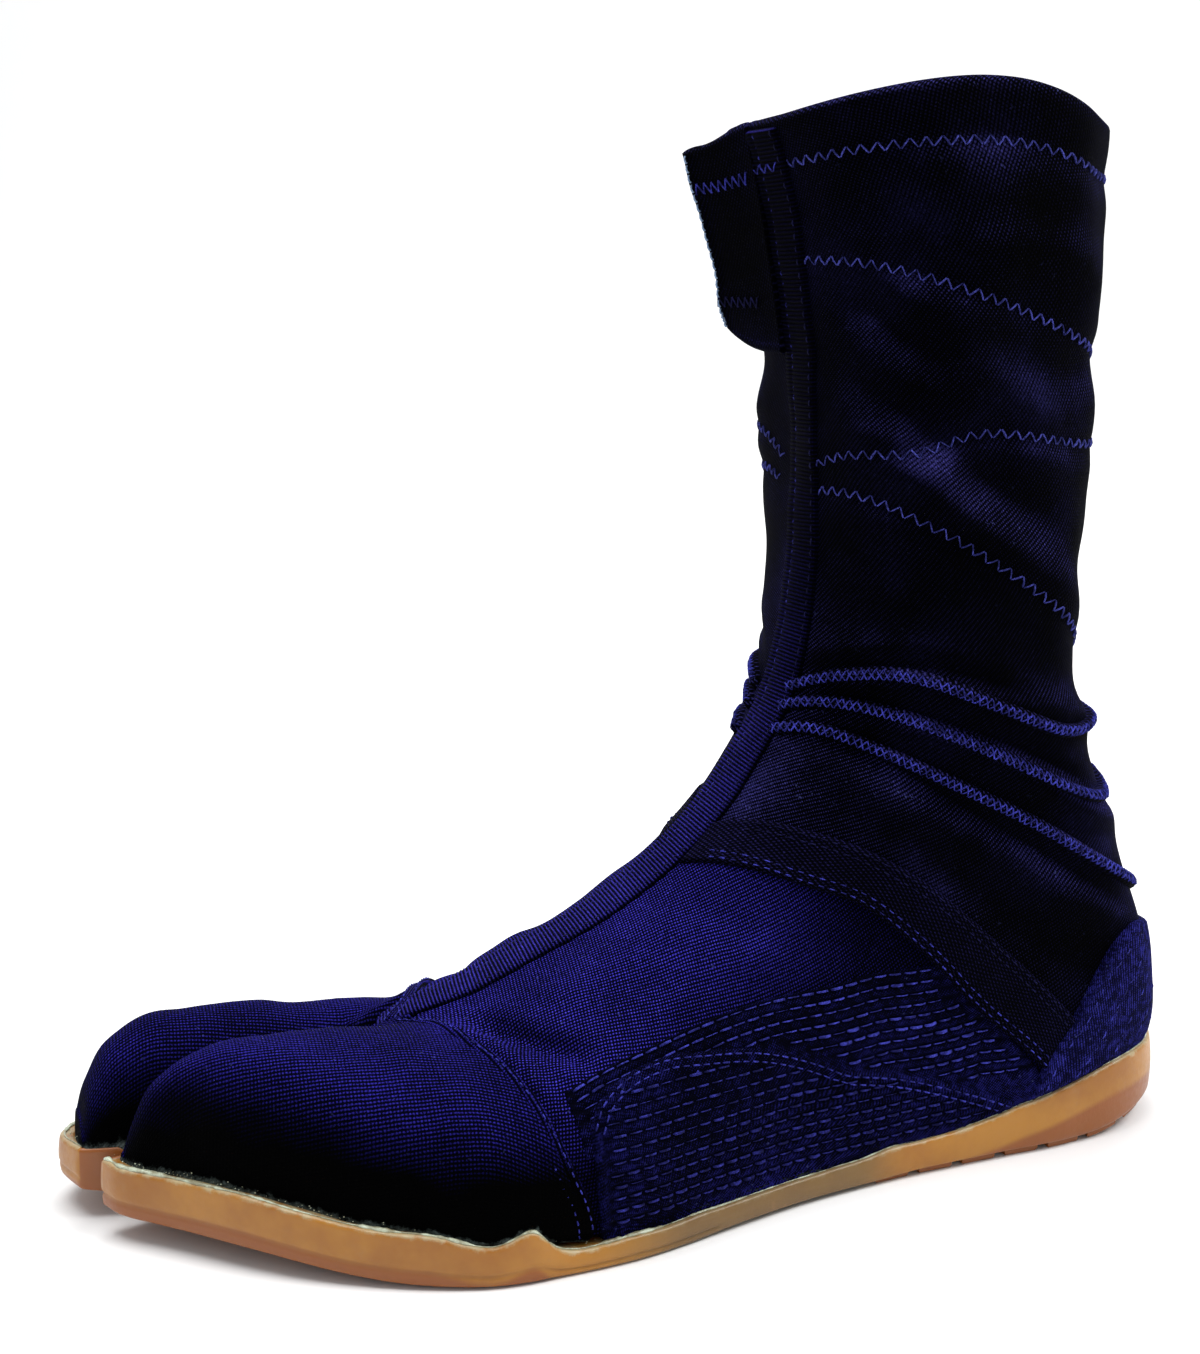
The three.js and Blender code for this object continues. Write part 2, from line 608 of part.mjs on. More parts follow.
// The area between two edges.
const PATCH_LINES = [0, 1 / 3, 2 / 3, 1];
const patch = (edgeA, edgeB, count) => {
  const b = smooth(edgeB, count);
  return beam(smooth(edgeA, count).map(([place, turn], i) => [
    skin(BODY, b[i][0], b[i][1], -REACH_IN),
    skin(BODY, place, turn, -REACH_IN),
    ...PATCH_LINES.map((share) =>
      skin(BODY, place + share * (b[i][0] - place), turn + share * (b[i][1] - turn), REACH_OUT)),
  ]));
};

const TAPE_PATH = [[0.9, 98], [1.6, 95], [2.4, 91], [3.5, 88], [5, 86], [8, 85], [12, 85], [18.97, 85]];
const TOE_SEAM = [[1.5, 81], [1.8, 62], [2.0, 42], [2.2, 22], [2.3, -1], [2.3, -40]];
const TUCKS = [
  [[8.7, 77], [9.9, 57], [11.2, 33], [12.9, -15], [14.3, -62], [14.4, -90], [14.3, -118], [12.7, -165],
    [10.6, -213], [9.2, -237], [8.4, -257]],
  [[8.2, 77], [9.5, 52], [10.5, 29], [12.1, -20], [13.5, -69], [13.6, -90], [13.5, -111], [11.9, -160],
    [10.0, -209], [8.8, -232], [7.9, -257]],
  [[7.7, 75], [8.7, 53], [9.7, 28], [10.7, -5], [11.8, -64], [11.9, -90], [11.8, -116], [10.5, -175],
    [9.2, -208], [8.2, -233], [7.3, -257]],
];
const BAND_LOW = [[4.9, 75], [5.9, 45], [6.6, 31], [7.2, 12], [7.8, -29], [8.0, -50]];
const BAND_HIGH = [[5.7, 75], [6.6, 50], [7.5, 33], [8.1, 15], [8.7, -21], [8.9, -50]];
const COUNTER_TOP = [[7.1, -50], [7.8, -31], [8.7, -23], [9.6, -29], [10.9, -60], [11.3, -90]];
const COUNTER_LOW = [[7.1, -66], [7.6, -66], [8.2, -66], [8.8, -68], [9.1, -78], [9.2, -90]];
const LOWER_TOP = [[2.7, 21], [3.3, 24], [4.0, 24], [4.7, 18], [5.5, 8], [6.2, -4], [7.3, -39]];
const LOWER_LOW = [[2.7, -52], [3.3, -52], [4.0, -52], [4.8, -52], [5.6, -52], [6.4, -54], [7.3, -60]];
const UPPER_TOP = [[2.7, 33], [3.2, 31], [4.1, 27], [5.4, 22], [6.6, 14], [7.5, 6]];
const UPPER_LOW = [[2.8, 5], [3.3, 5], [4.1, 5], [5.2, -5], [6.2, -30], [7.3, -50]];

const shells = new Map();
const shell = (thickness) => {
  if (!shells.has(thickness)) {
    shells.set(thickness, form(CLEARANCE + thickness).subtract(form(CLEARANCE, { extend: true })));
  }
  return shells.get(thickness);
};
const core = fromAbove(flatRing(RIM_SHELF - 1), BELOW, SOLE_THICKNESS + FLOOR_CUT);
const soleRoom = block(CLEARANCE).add(core);
const SIDES = [['lateral', (rows) => rows], ['medial', mirrored]];
const bothSides = (rows) =>
  [...rows, ...rows.slice(0, -1).reverse().map(([place, turn]) => [place, -180 - turn])];
const bandPatch = (side) => patch(side(BAND_LOW), side(BAND_HIGH), BAND_STATIONS);
const counterPatch = patch(bothSides(COUNTER_TOP), bothSides(COUNTER_LOW), COUNTER_STATIONS);
const lowerPatch = (side) => patch(side(LOWER_TOP), side(LOWER_LOW), LOWER_STATIONS);
const upperPatch = (side) => patch(side(UPPER_TOP), side(UPPER_LOW), UPPER_STATIONS);

const cloth = (colour, roughness) =>
  new THREE.MeshStandardMaterial({ color: colour, roughness, metalness: 0 });
const MATERIALS = {
  twill: cloth(0x14162e, 0.9),
  tape: cloth(0x1d1e33, 0.85),
  quilt: cloth(0x24265a, 0.9),
  felt: cloth(0x1c2140, 0.95),
  rubber: cloth(0xd9b98c, 0.5),
  board: cloth(0xb9a98c, 0.9),
};
const jikaTabi = new THREE.Group();
const addPiece = (name, solid, material) => {
  const mesh = solid.getMesh();
  const geometry = new THREE.BufferGeometry();
  geometry.setAttribute('position', new THREE.BufferAttribute(new Float32Array(mesh.vertProperties), 3));
  geometry.setIndex(new THREE.BufferAttribute(new Uint32Array(mesh.triVerts), 1));
  const item = new THREE.Mesh(geometry, material);
  item.name = name;
  jikaTabi.add(item);
};

// The flap is the free front edge of the opening on the inner side. It leaves the shaft beside the tape and
// stands forward of it, further at the rim than at its lower corner.
const FLAP_TURNS = [98, 104, 111, 118, 125];
const FLAP_RISES = [0, 0.12, 0.45, 0.8, 1];
const FLAP_LOW_LIFT = 0.6;
const makeFlap = () => {
  const top = SHAFT_HEIGHT - FLAP_MARGIN;
  const faces = [];
  const points = [];
  const columns = FLAP_TURNS.length;
  for (const rise of FLAP_RISES) {
    const height = top - FLAP_HEIGHT * (1 - rise);
    const level = placeAtHeight(height);
    const front = formPoint(BODY, level, 90);
    FLAP_TURNS.forEach((turn, i) => {
      const outward = i / (columns - 1);
      const root = formPoint(BODY, level, turn);
      const lift = FLAP_LIFT * outward * (FLAP_LOW_LIFT + (1 - FLAP_LOW_LIFT) * rise);
      const corner = rise === 0 ? FLAP_CORNER * outward ** 3 : 0;
      const y = front.y - 2 * CLEARANCE - lift;
      const z = front.z + corner;
      points.push(new THREE.Vector3(root.x, y, z), new THREE.Vector3(root.x, y - FLAP_THICKNESS, z));
    });
  }
  const at = (row, column, side) => 2 * (row * columns + column) + side;
  const quad = (a, b, c, d) => faces.push([a, b, c], [a, c, d]);
  const lastRow = FLAP_RISES.length - 1;
  const lastColumn = columns - 1;
  for (let r = 0; r < lastRow; r += 1) {
    for (let c = 0; c < lastColumn; c += 1) {
      quad(at(r, c, 1), at(r + 1, c, 1), at(r + 1, c + 1, 1), at(r, c + 1, 1));
      quad(at(r, c, 0), at(r, c + 1, 0), at(r + 1, c + 1, 0), at(r + 1, c, 0));
    }
    quad(at(r, 0, 0), at(r + 1, 0, 0), at(r + 1, 0, 1), at(r, 0, 1));
    quad(at(r, lastColumn, 0), at(r, lastColumn, 1), at(r + 1, lastColumn, 1), at(r + 1, lastColumn, 0));
  }
  for (let c = 0; c < lastColumn; c += 1) {
    quad(at(0, c, 0), at(0, c, 1), at(0, c + 1, 1), at(0, c + 1, 0));
    quad(at(lastRow, c, 0), at(lastRow, c + 1, 0), at(lastRow, c + 1, 1), at(lastRow, c, 1));
  }
  return outwardSolid(points, faces);
};

addPiece('outsole', makeOutsole(), MATERIALS.rubber);
addPiece('upper', makeUpper(), MATERIALS.twill);
addPiece('insole', makeInsole(), MATERIALS.board);

const tape = strip(TAPE_PATH, TAPE_WIDTH, TAPE_STATIONS);
const tapeRoom = strip(TAPE_PATH, TAPE_WIDTH + 2 * CLEARANCE, TAPE_STATIONS);
addPiece('front_tape', shell(TAPE_THICKNESS).intersect(tape), MATERIALS.tape);

let room = tapeRoom.add(soleRoom);
const lay = (name, cutter, thickness, material) => {
  addPiece(name, shell(thickness).intersect(cutter).subtract(room), material);
};
TUCKS.forEach((path, i) => {
  lay(`ankle_tuck_${i + 1}`, strip(path, TUCK_WIDTH, TUCK_STATIONS), TUCK_HEIGHT, MATERIALS.twill);
});
lay('heel_counter', counterPatch, COUNTER_THICKNESS, MATERIALS.felt);
for (const [side, turned] of SIDES) {
  lay(`toe_seam_${side}`, strip(turned(TOE_SEAM), SEAM_WIDTH, SEAM_STATIONS), SEAM_HEIGHT, MATERIALS.quilt);
}
const tuckRoom = strip(TUCKS[2], TUCK_WIDTH + 2 * CLEARANCE, TUCK_STATIONS);
const counterEdge = COUNTER_TOP.map(([place, turn], i) => (
  i < COUNTER_FRONT ? [place - ROOM_STEP, turn + ROOM_TURN] : [place + ROOM_STEP, turn]));
const counterRoom = patch(bothSides(counterEdge), bothSides(COUNTER_LOW), COUNTER_STATIONS);
room = room.add(tuckRoom).add(counterRoom);
for (const [side, turned] of SIDES) {
  lay(`instep_band_${side}`, bandPatch(turned), PANEL_THICKNESS, MATERIALS.tape);
}
const bandRoom = SIDES.map(([, turned]) => patch(
  turned(BAND_LOW).map(([p, turn]) => [p - ROOM_STEP, turn]), turned(BAND_HIGH), BAND_STATIONS));
room = room.add(bandRoom[0]).add(bandRoom[1]);
for (const [side, turned] of SIDES) {
  lay(`side_panel_lower_${side}`, lowerPatch(turned), PANEL_THICKNESS, MATERIALS.quilt);
}
const lowerEdge = LOWER_TOP.map(([place, turn], i) =>
  [i < LOWER_FRONT ? place - ROOM_STEP : place + ROOM_STEP, turn + ROOM_TURN]);
const lowerFoot = LOWER_LOW.map(([place, turn]) => [place - ROOM_STEP, turn]);
const lowerRoom = SIDES.map(([, turned]) => patch(turned(lowerEdge), turned(lowerFoot), LOWER_STATIONS));
room = room.add(lowerRoom[0]).add(lowerRoom[1]);
for (const [side, turned] of SIDES) {
  lay(`side_panel_upper_${side}`, upperPatch(turned), PANEL_THICKNESS, MATERIALS.quilt);
}
addPiece('closure_flap', makeFlap(), MATERIALS.twill);

export default jikaTabi;
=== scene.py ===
# A left split-toe work boot of cloth on a thin rubber sole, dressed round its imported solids.
# Sizes are in millimetres until a mesh is made. Toes point along -Y, the outer side is +X, +Z is up.
import json
import math

import bmesh
import bpy
import numpy as np
from mathutils import Matrix, Vector
from mathutils.geometry import tessellate_polygon
from mathutils.kdtree import KDTree

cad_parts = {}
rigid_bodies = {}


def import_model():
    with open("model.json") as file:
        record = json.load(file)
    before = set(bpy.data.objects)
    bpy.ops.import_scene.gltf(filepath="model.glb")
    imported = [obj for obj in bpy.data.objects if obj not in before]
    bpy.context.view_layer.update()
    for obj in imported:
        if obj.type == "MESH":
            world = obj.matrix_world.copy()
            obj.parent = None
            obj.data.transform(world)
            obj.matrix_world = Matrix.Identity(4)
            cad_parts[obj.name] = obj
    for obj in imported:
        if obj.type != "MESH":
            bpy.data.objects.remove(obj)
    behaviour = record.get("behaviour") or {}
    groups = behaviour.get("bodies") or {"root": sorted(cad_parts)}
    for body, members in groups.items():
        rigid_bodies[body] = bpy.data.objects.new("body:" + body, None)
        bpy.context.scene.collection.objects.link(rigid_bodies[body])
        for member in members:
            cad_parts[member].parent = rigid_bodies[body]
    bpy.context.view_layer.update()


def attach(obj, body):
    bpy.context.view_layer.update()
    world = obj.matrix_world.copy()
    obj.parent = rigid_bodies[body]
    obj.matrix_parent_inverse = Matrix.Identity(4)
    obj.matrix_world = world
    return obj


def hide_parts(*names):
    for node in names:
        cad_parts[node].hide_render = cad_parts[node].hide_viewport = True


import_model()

MM = 0.001
rng = np.random.default_rng(7)

# ---- Sizes and tables of the form: the part's own, with the toes, the rim and the edges of the seams,
# bands and panels set a few millimetres closer to the photo
FOOT_LENGTH = 270
HEEL_SETBACK = 38
BALL_WIDTH = 100
HEEL_WIDTH = 66
INSTEP_HEIGHT = 100
ANKLE_HEIGHT = 96
SHAFT_HEIGHT = 243
SHAFT_DEPTH = 75
SHAFT_WIDTH = 75
RIM_ARCH = 9
UPPER_WALL = 1.8
CLEARANCE = 0.3
SOLE_THICKNESS = 5.2
TREAD_HEIGHT = 2
TREAD_INSET = 1.2
TREAD_PITCH = 12
TREAD_GROOVE = 3
HEEL_TREAD_END = 0.32
BALL_TREAD_START = 0.50
FOXING_HEIGHT = 11
FOXING_WALL = 3
TOE_SPRING = 6.6
SPRING_START = 0.76
TOE_ROLL = 3.0
HEEL_ROLL = 5.0
TOE_SLIT = 3
SLIT_PLACE = -0.137
SLIT_ROUNDING = 0.05
SLIT_OPENS = 0.9
TIP_BULGE = 1
NUDGE = 0.02  # a small part of a place, for directions along the form
NEAR_FLOOR = 30  # the height below which cloth may meet the rubber rim

FOOT_SECTIONS = [
    # base, top, rise, middle, inner, outer, widest, low, outer_top, inner_top
    [0.752, 0.752, 0.322, -0.050, 0.385, 0.440, 0.32, 6.0, 2.2, 2.2],
    [0.715, 0.726, 0.358, -0.060, 0.390, 0.510, 0.32, 6.0, 2.1, 2.1],
    [0.652, 0.659, 0.432, -0.060, 0.380, 0.540, 0.32, 6.5, 2.0, 2.1],
    [0.578, 0.593, 0.515, -0.060, 0.345, 0.530, 0.32, 7.5, 2.0, 2.2],
    [0.496, 0.530, 0.605, -0.060, 0.310, 0.470, 0.31, 9.0, 2.0, 2.3],
    [0.407, 0.474, 0.715, -0.050, 0.285, 0.400, 0.30, 9.0, 2.1, 2.4],
    [0.311, 0.433, 0.835, -0.040, 0.275, 0.355, 0.30, 9.0, 2.1, 2.5],
    [0.215, 0.406, 0.945, -0.030, 0.275, 0.335, 0.34, 8.0, 2.2, 2.6],
    [0.122, 0.385, 1.045, -0.020, 0.295, 0.335, 0.42, 5.5, 2.2, 2.8],
]
HEEL_SECTIONS = [
    # base, base_rise, top, rise, middle, inner, outer, widest, low, outer_top, inner_top
    [0.046, 0.025, 0.372, 1.180, -0.030, 0.475, 0.505, 0.46, 3.2, 2.2, 3.4],
    [0.012, 0.170, 0.363, 1.275, -0.030, 0.500, 0.520, 0.50, 2.6, 2.2, 3.6],
    [0.017, 0.380, 0.357, 1.380, -0.030, 0.515, 0.535, 0.50, 2.3, 2.2, 3.8],
    [0.042, 0.570, 0.353, 1.485, -0.030, 0.530, 0.545, 0.50, 2.2, 2.3, 3.9],
]
SHAFT_SECTIONS = [
    # back, back_rise, front, front_rise, middle, inner, outer, widest, low, outer_top, inner_top, arch
    [0.245, -0.125, 1.267, 0.425, -0.033, 0.485, 0.490, 0.50, 2.2, 2.3, 4.0, 0],
    [0.320, 0.005, 1.264, 0.500, -0.035, 0.495, 0.495, 0.50, 2.2, 2.4, 4.0, 0],
    [0.362, 0.150, 1.267, 0.575, -0.038, 0.500, 0.500, 0.50, 2.2, 2.4, 4.0, 0],
    [0.350, 0.340, 1.280, 0.670, -0.038, 0.500, 0.505, 0.50, 2.2, 2.4, 3.8, 0],
    [0.312, 0.545, 1.307, 0.765, -0.038, 0.505, 0.510, 0.50, 2.2, 2.4, 3.6, 0.05],
    [0.290, 0.755, 1.347, 0.878, -0.038, 0.515, 0.525, 0.50, 2.2, 2.4, 3.3, 0.35],
    [0.280, 0.980, 1.407, 1.000, -0.038, 0.530, 0.540, 0.50, 2.2, 2.4, 3.0, 1],
]
OUTER_TOES = [
    # length, top, crest, outer_side
    [0.958, 0.095, -0.085, -0.065], [0.949, 0.165, -0.070, -0.035], [0.933, 0.264, -0.050, 0.005],
    [0.908, 0.336, -0.025, 0.075], [0.874, 0.380, 0.015, 0.175], [0.830, 0.400, 0.050, 0.285],
    [0.785, 0.403, 0.070, 0.370], [0.741, 0.398, 0.080, 0.435], [0.700, 0.388, 0.090, 0.478],
    [0.663, 0.370, 0.120, 0.486], [0.630, 0.345, 0.150, 0.472], [0.585, 0.290, 0.180, 0.430],
]
BIG_TOE = [
    # length, top, crest, outer_side
    [0.986, 0.115, -0.300, -0.340], [0.976, 0.190, -0.295, -0.375], [0.956, 0.280, -0.295, -0.408],
    [0.926, 0.338, -0.300, -0.432], [0.889, 0.354, -0.300, -0.446], [0.837, 0.360, -0.295, -0.455],
    [0.785, 0.352, -0.290, -0.454], [0.741, 0.346, -0.280, -0.448], [0.696, 0.340, -0.270, -0.435],
    [0.648, 0.330, -0.260, -0.405], [0.593, 0.300, -0.240, -0.340],
]
OUTER_TOE_EDGE = [
    # place, turn, rim
    [0, -35, 0.60], [1, -35, 0.61], [2, -35, 0.62], [3, -35, 0.62], [4, -35, 0.62], [5, -35, 0.61],
    [6, -36, 0.60], [7, -37, 0.59], [8, -38, 0.58], [8.8, -38, 0.58],
]
SIDE_EDGE = [
    # place, turn, rim
    [2.1, -38, 0.14], [3, -40, 0.07], [4, -41, 0.08], [5, -42, 0.13], [6, -43, 0.24], [6.6, -44, 0.36],
    [7.2, -45, 0.58], [7.9, -46, 0.94], [8.5, -50, 1.24], [9.1, -62, 1.30], [9.4, -76, 1.32],
    [9.5, -90, 1.32],
]
BIG_TOE_EDGE = [
    # place, turn, rim
    [8.6, -36, 0.57], [8, -36, 0.58], [7, -35, 0.58], [6, -35, 0.57], [5, -35, 0.55], [4, -35, 0.50],
    [3, -35, 0.45], [2, -35, 0.40], [1, -35, 0.37], [0, -35, 0.36],
]
# Lines on the upper, each a list of places and turns
TAPE_PATH = [[0.9, 98], [1.6, 95], [2.4, 91], [3.5, 88], [5, 86], [8, 85], [12, 85], [18.97, 85]]
TOE_SEAM = [[1.0, 88], [1.38, 78], [1.62, 62], [1.81, 49], [2.0, 32], [2.14, 15], [2.29, -5], [2.43, -41]]
TUCKS = [
    [[8.7, 77], [9.9, 57], [11.2, 33], [12.9, -15], [14.3, -62], [14.4, -90], [14.3, -118], [12.7, -165],
     [10.6, -213], [9.2, -237], [8.4, -257]],
    [[8.2, 77], [9.5, 52], [10.5, 29], [12.1, -20], [13.5, -69], [13.6, -90], [13.5, -111], [11.9, -160],
     [10.0, -209], [8.8, -232], [7.9, -257]],
    [[7.7, 75], [8.7, 53], [9.7, 28], [10.7, -5], [11.8, -64], [11.9, -90], [11.8, -116], [10.5, -175],
     [9.2, -208], [8.2, -233], [7.3, -257]],
]
BAND_LOW = [[4.95, 76], [5.62, 57], [6.29, 41], [6.95, 28], [7.24, 18], [7.43, 8], [7.67, -14], [7.9, -30],
            [8.05, -50]]
BAND_HIGH = [[5.7, 76], [6.3, 62], [6.81, 50], [7.3, 40], [7.57, 34], [8.1, 19], [8.48, 1], [8.72, -19],
             [8.9, -50]]
COUNTER_TOP = [[7.1, -50], [7.43, -42], [8.0, -31], [8.48, -26], [9.1, -24], [9.7, -26], [10.2, -29],
               [10.75, -38], [11.25, -62], [11.4, -90]]
COUNTER_LOW = [[7.1, -66], [7.6, -66], [8.2, -66], [8.8, -68], [9.1, -78], [9.2, -90]]
LOWER_TOP = [[2.58, 18], [2.76, 25], [3.14, 29], [3.62, 28], [4.14, 23], [4.86, 15], [5.52, 5], [6.14, -8],
             [6.86, -26], [7.6, -42]]
LOWER_LOW = [[2.6, -68], [2.8, -68], [3.2, -68], [3.7, -68], [4.2, -68], [4.9, -68], [5.5, -68], [6.1, -66],
             [6.8, -64], [7.6, -62]]
UPPER_TOP = [[2.42, 33], [2.9, 34], [3.57, 32.5], [4.24, 30], [5.05, 25.5], [6.0, 19], [6.7, 15], [7.6, 7]]
UPPER_LOW = [[2.5, 8], [3.0, 8], [3.6, 8], [4.3, 3], [5.2, -8], [6.2, -30], [6.9, -42], [7.98, -50]]


def lengthwise(share):
    return HEEL_SETBACK - np.asarray(share, float) * FOOT_LENGTH


def spring_at(share):
    rise = np.maximum(0, (np.asarray(share, float) - SPRING_START) / (1 - SPRING_START))
    return TOE_SPRING * rise * rise


def sole_spring(share):
    """The sole's rise: its toe end also rolls up early, and its heel end a little."""
    share = np.asarray(share, float)
    return (spring_at(share) + TOE_ROLL * np.exp(-((share - 0.87) / 0.085) ** 2)
            + HEEL_ROLL * smoothstep(0.13, 0.0, share))


def share_of(y):
    return (HEEL_SETBACK - y) / FOOT_LENGTH


# A section's columns: base y, base z, top y, top z, middle, inner, outer, widest, low, outer top,
# inner top and arch
def body_rows():
    rows = []
    for base, top, rise, middle, inner, outer, widest, low, outer_top, inner_top in FOOT_SECTIONS:
        rows.append([lengthwise(base), SOLE_THICKNESS + CLEARANCE + spring_at(base), lengthwise(top),
                     SOLE_THICKNESS + rise * INSTEP_HEIGHT, middle * BALL_WIDTH, inner * BALL_WIDTH,
                     outer * BALL_WIDTH, widest, low, outer_top, inner_top, 0])
    for base, base_rise, top, rise, middle, inner, outer, widest, low, outer_top, inner_top in HEEL_SECTIONS:
        rows.append([lengthwise(base), SOLE_THICKNESS + base_rise * ANKLE_HEIGHT, lengthwise(top),
                     SOLE_THICKNESS + rise * ANKLE_HEIGHT, middle * HEEL_WIDTH, inner * HEEL_WIDTH,
                     outer * HEEL_WIDTH, widest, low, outer_top, inner_top, 0])
    above = SHAFT_HEIGHT - ANKLE_HEIGHT
    for back, back_rise, front, front_rise, middle, inner, outer, widest, low, o_top, i_top, arch in SHAFT_SECTIONS:
        rows.append([HEEL_SETBACK - back * SHAFT_DEPTH, ANKLE_HEIGHT + back_rise * above,
                     HEEL_SETBACK - front * SHAFT_DEPTH, ANKLE_HEIGHT + front_rise * above,
                     middle * SHAFT_WIDTH, inner * SHAFT_WIDTH, outer * SHAFT_WIDTH, widest, low,
                     o_top, i_top, arch * RIM_ARCH])
    return np.array(rows, float)


def slit_side(length, sign):
    opening = np.maximum(0, (np.asarray(length, float) - SLIT_OPENS) / (1 - SLIT_OPENS)) ** 2
    return SLIT_PLACE * BALL_WIDTH + sign * (TOE_SLIT / 2 + opening * SLIT_ROUNDING * BALL_WIDTH)


def lobe_rows(table, sign):
    rows = []
    for length, top, crest, outer_side in table:
        slit = float(slit_side(length, sign))
        low, high = min(slit, outer_side * BALL_WIDTH), max(slit, outer_side * BALL_WIDTH)
        margin = 0.3 * (high - low)
        middle = min(max(crest * BALL_WIDTH, low + margin), high - margin)
        y, lift = lengthwise(length), spring_at(length)
        rows.append([y, SOLE_THICKNESS + CLEARANCE + lift, y, SOLE_THICKNESS + top * INSTEP_HEIGHT + lift,
                     middle, middle - low, high - middle, 0.34, 5.5, 2.3, 2.3, 0])
    return np.array(rows, float)


BODY = body_rows()
OUTER_LOBE = lobe_rows(OUTER_TOES, 1)
INNER_LOBE = lobe_rows(BIG_TOE, -1)
LAST = len(BODY) - 1


def section_at(rows, place):
    place = np.asarray(place, float)
    last = len(rows) - 1
    index = np.clip(np.floor(place).astype(int), 0, last - 1)
    t = (place - index)[..., None]
    b, c = rows[index], rows[index + 1]
    a = np.where((index > 0)[..., None], rows[np.maximum(index - 1, 0)], 2 * b - c)
    d = np.where((index + 2 <= last)[..., None], rows[np.minimum(index + 2, last)], 2 * c - b)
    return 0.5 * (2 * b + (c - a) * t + (2 * a - 5 * b + 4 * c - d)
                  * t ** 2 + (3 * b - a - 3 * c + d) * t ** 3)


def form_point(rows, place, turn):
    place, turn = np.broadcast_arrays(np.asarray(place, float), np.asarray(turn, float))
    r = section_at(rows, place)
    base_y, base_z, top_y, top_z, middle, inner, outer, widest, low, outer_top, inner_top, arch = np.moveaxis(r, -1, 0)
    c, q = np.cos(np.radians(turn)), np.sin(np.radians(turn))
    power = np.where(q < 0, low, np.where(c >= 0, outer_top, inner_top))
    reach = (np.abs(c) ** power + np.abs(q) ** power) ** (-1 / power)
    along = widest + q * reach * np.where(q >= 0, 1 - widest, widest)
    x = middle + c * reach * np.where(c >= 0, outer, inner)
    return np.stack([x, base_y + along * (top_y - base_y), base_z
                     + along * (top_z - base_z) + arch * c * c], -1)


def unit(v):
    return v / np.maximum(np.linalg.norm(v, axis=-1, keepdims=True), 1e-12)


def tangents(rows, place, turn):
    """Millimetres of travel per place and per degree on a form."""
    place, turn = np.asarray(place, float), np.asarray(turn, float)
    ahead, behind = np.minimum(place + NUDGE, len(rows) - 1), np.maximum(place - NUDGE, 0)
    per_place = (form_point(rows, ahead, turn) - form_point(rows, behind, turn)) / (ahead - behind)[...,
                                                                                                    None]
    per_turn = (form_point(rows, place, turn + 1) - form_point(rows, place, turn - 1)) / 2
    return per_place, per_turn


def form_normal(rows, place, turn):
    return unit(np.cross(*tangents(rows, place, turn)))


def step(place, turn, move):
    """The place and turn after a small move, given in millimetres, along the body's surface."""
    a, b = tangents(BODY, place, turn)
    aa, bb, ab = (a * a).sum(-1), (b * b).sum(-1), (a * b).sum(-1)
    ma, mb = (a * move).sum(-1), (b * move).sum(-1)
    det = np.maximum(aa * bb - ab * ab, 1e-9)
    return (np.clip(place + (ma * bb - mb * ab) / det, 0, LAST), turn + (mb * aa - ma * ab) / det)


def curve_through(points, closed=False, per=16):
    """A centripetal curve through points of any dimension."""
    points = np.array(points, float)
    count = len(points)
    out = []
    for i in range(count if closed else count - 1):
        p1, p2 = points[i], points[(i + 1) % count]
        p0 = points[i - 1] if closed or i > 0 else 2 * p1 - p2
        p3 = points[(i + 2) % count] if closed or i + 2 < count else 2 * p2 - p1
        d0, d1, d2 = [max(float(((v - u) ** 2).sum()) ** 0.25, 1e-4)
                      for u, v in ((p0, p1), (p1, p2), (p2, p3))]
        m1 = ((p1 - p0) / d0 - (p2 - p0) / (d0 + d1) + (p2 - p1) / d1) * d1
        m2 = ((p2 - p1) / d1 - (p3 - p1) / (d1 + d2) + (p3 - p2) / d2) * d1
        t = np.linspace(0, 1, per, endpoint=False)[:, None]
        out.append(p1 + m1 * t + (-3 * p1 + 3 * p2 - 2 * m1 - m2) * t ** 2
                   + (2 * p1 - 2 * p2 + m1 + m2) * t ** 3)
    if not closed:
        out.append(points[-1:])
    return np.concatenate(out)


def resample(values, lengths, count=None, pitch=None, stops=None):
    """Values at even spacing along running lengths."""
    if stops is None:
        if count is None:
            count = max(2, int(round(lengths[-1] / pitch)) + 1)
        stops = np.linspace(0, lengths[-1], count)
    return np.stack([np.interp(stops, lengths, column) for column in values.T], -1)


def running(points, axis=0):
    """The running length along an axis of points."""
    steps = np.linalg.norm(np.diff(points, axis=axis), axis=-1)
    return np.concatenate([np.zeros_like(steps.take([0], axis)), np.cumsum(steps, axis)], axis)


def path_length(path):
    """The running length along a path of places and turns on the body."""
    return running(form_point(BODY, path[:, 0], path[:, 1]))


def path_on_body(rows, count=None, pitch=None):
    """A smooth path of places and turns at even spacing on the body."""
    scaled = curve_through([[p, t / 20] for p, t in rows])
    dense = np.stack([scaled[:, 0], scaled[:, 1] * 20], -1)
    return resample(dense, path_length(dense), count, pitch)


def mirrored(rows):
    return [[p, 180 - t] for p, t in rows]


def both_sides(rows):
    return rows + [[p, -180 - t] for p, t in rows[:-1][::-1]]


def smoothstep(low, high, value):
    t = np.clip((value - low) / (high - low), 0, 1)
    return t * t * (3 - 2 * t)


def from_front(turn):
    """Degrees from the front line, the same on both sides."""
    return np.abs((np.asarray(turn, float) + 90) % 360 - 180)


# ---- Creases and slack of the cloth, in millimetres out of the form
def seam_place(turn):
    """The place of the toe caps' rear seam at a turn."""
    turns = [90 - t for p, t in TOE_SEAM]
    return np.interp(from_front(turn), [0] + turns + [180], [1.45] + [p for p, t in TOE_SEAM] + [2.3])


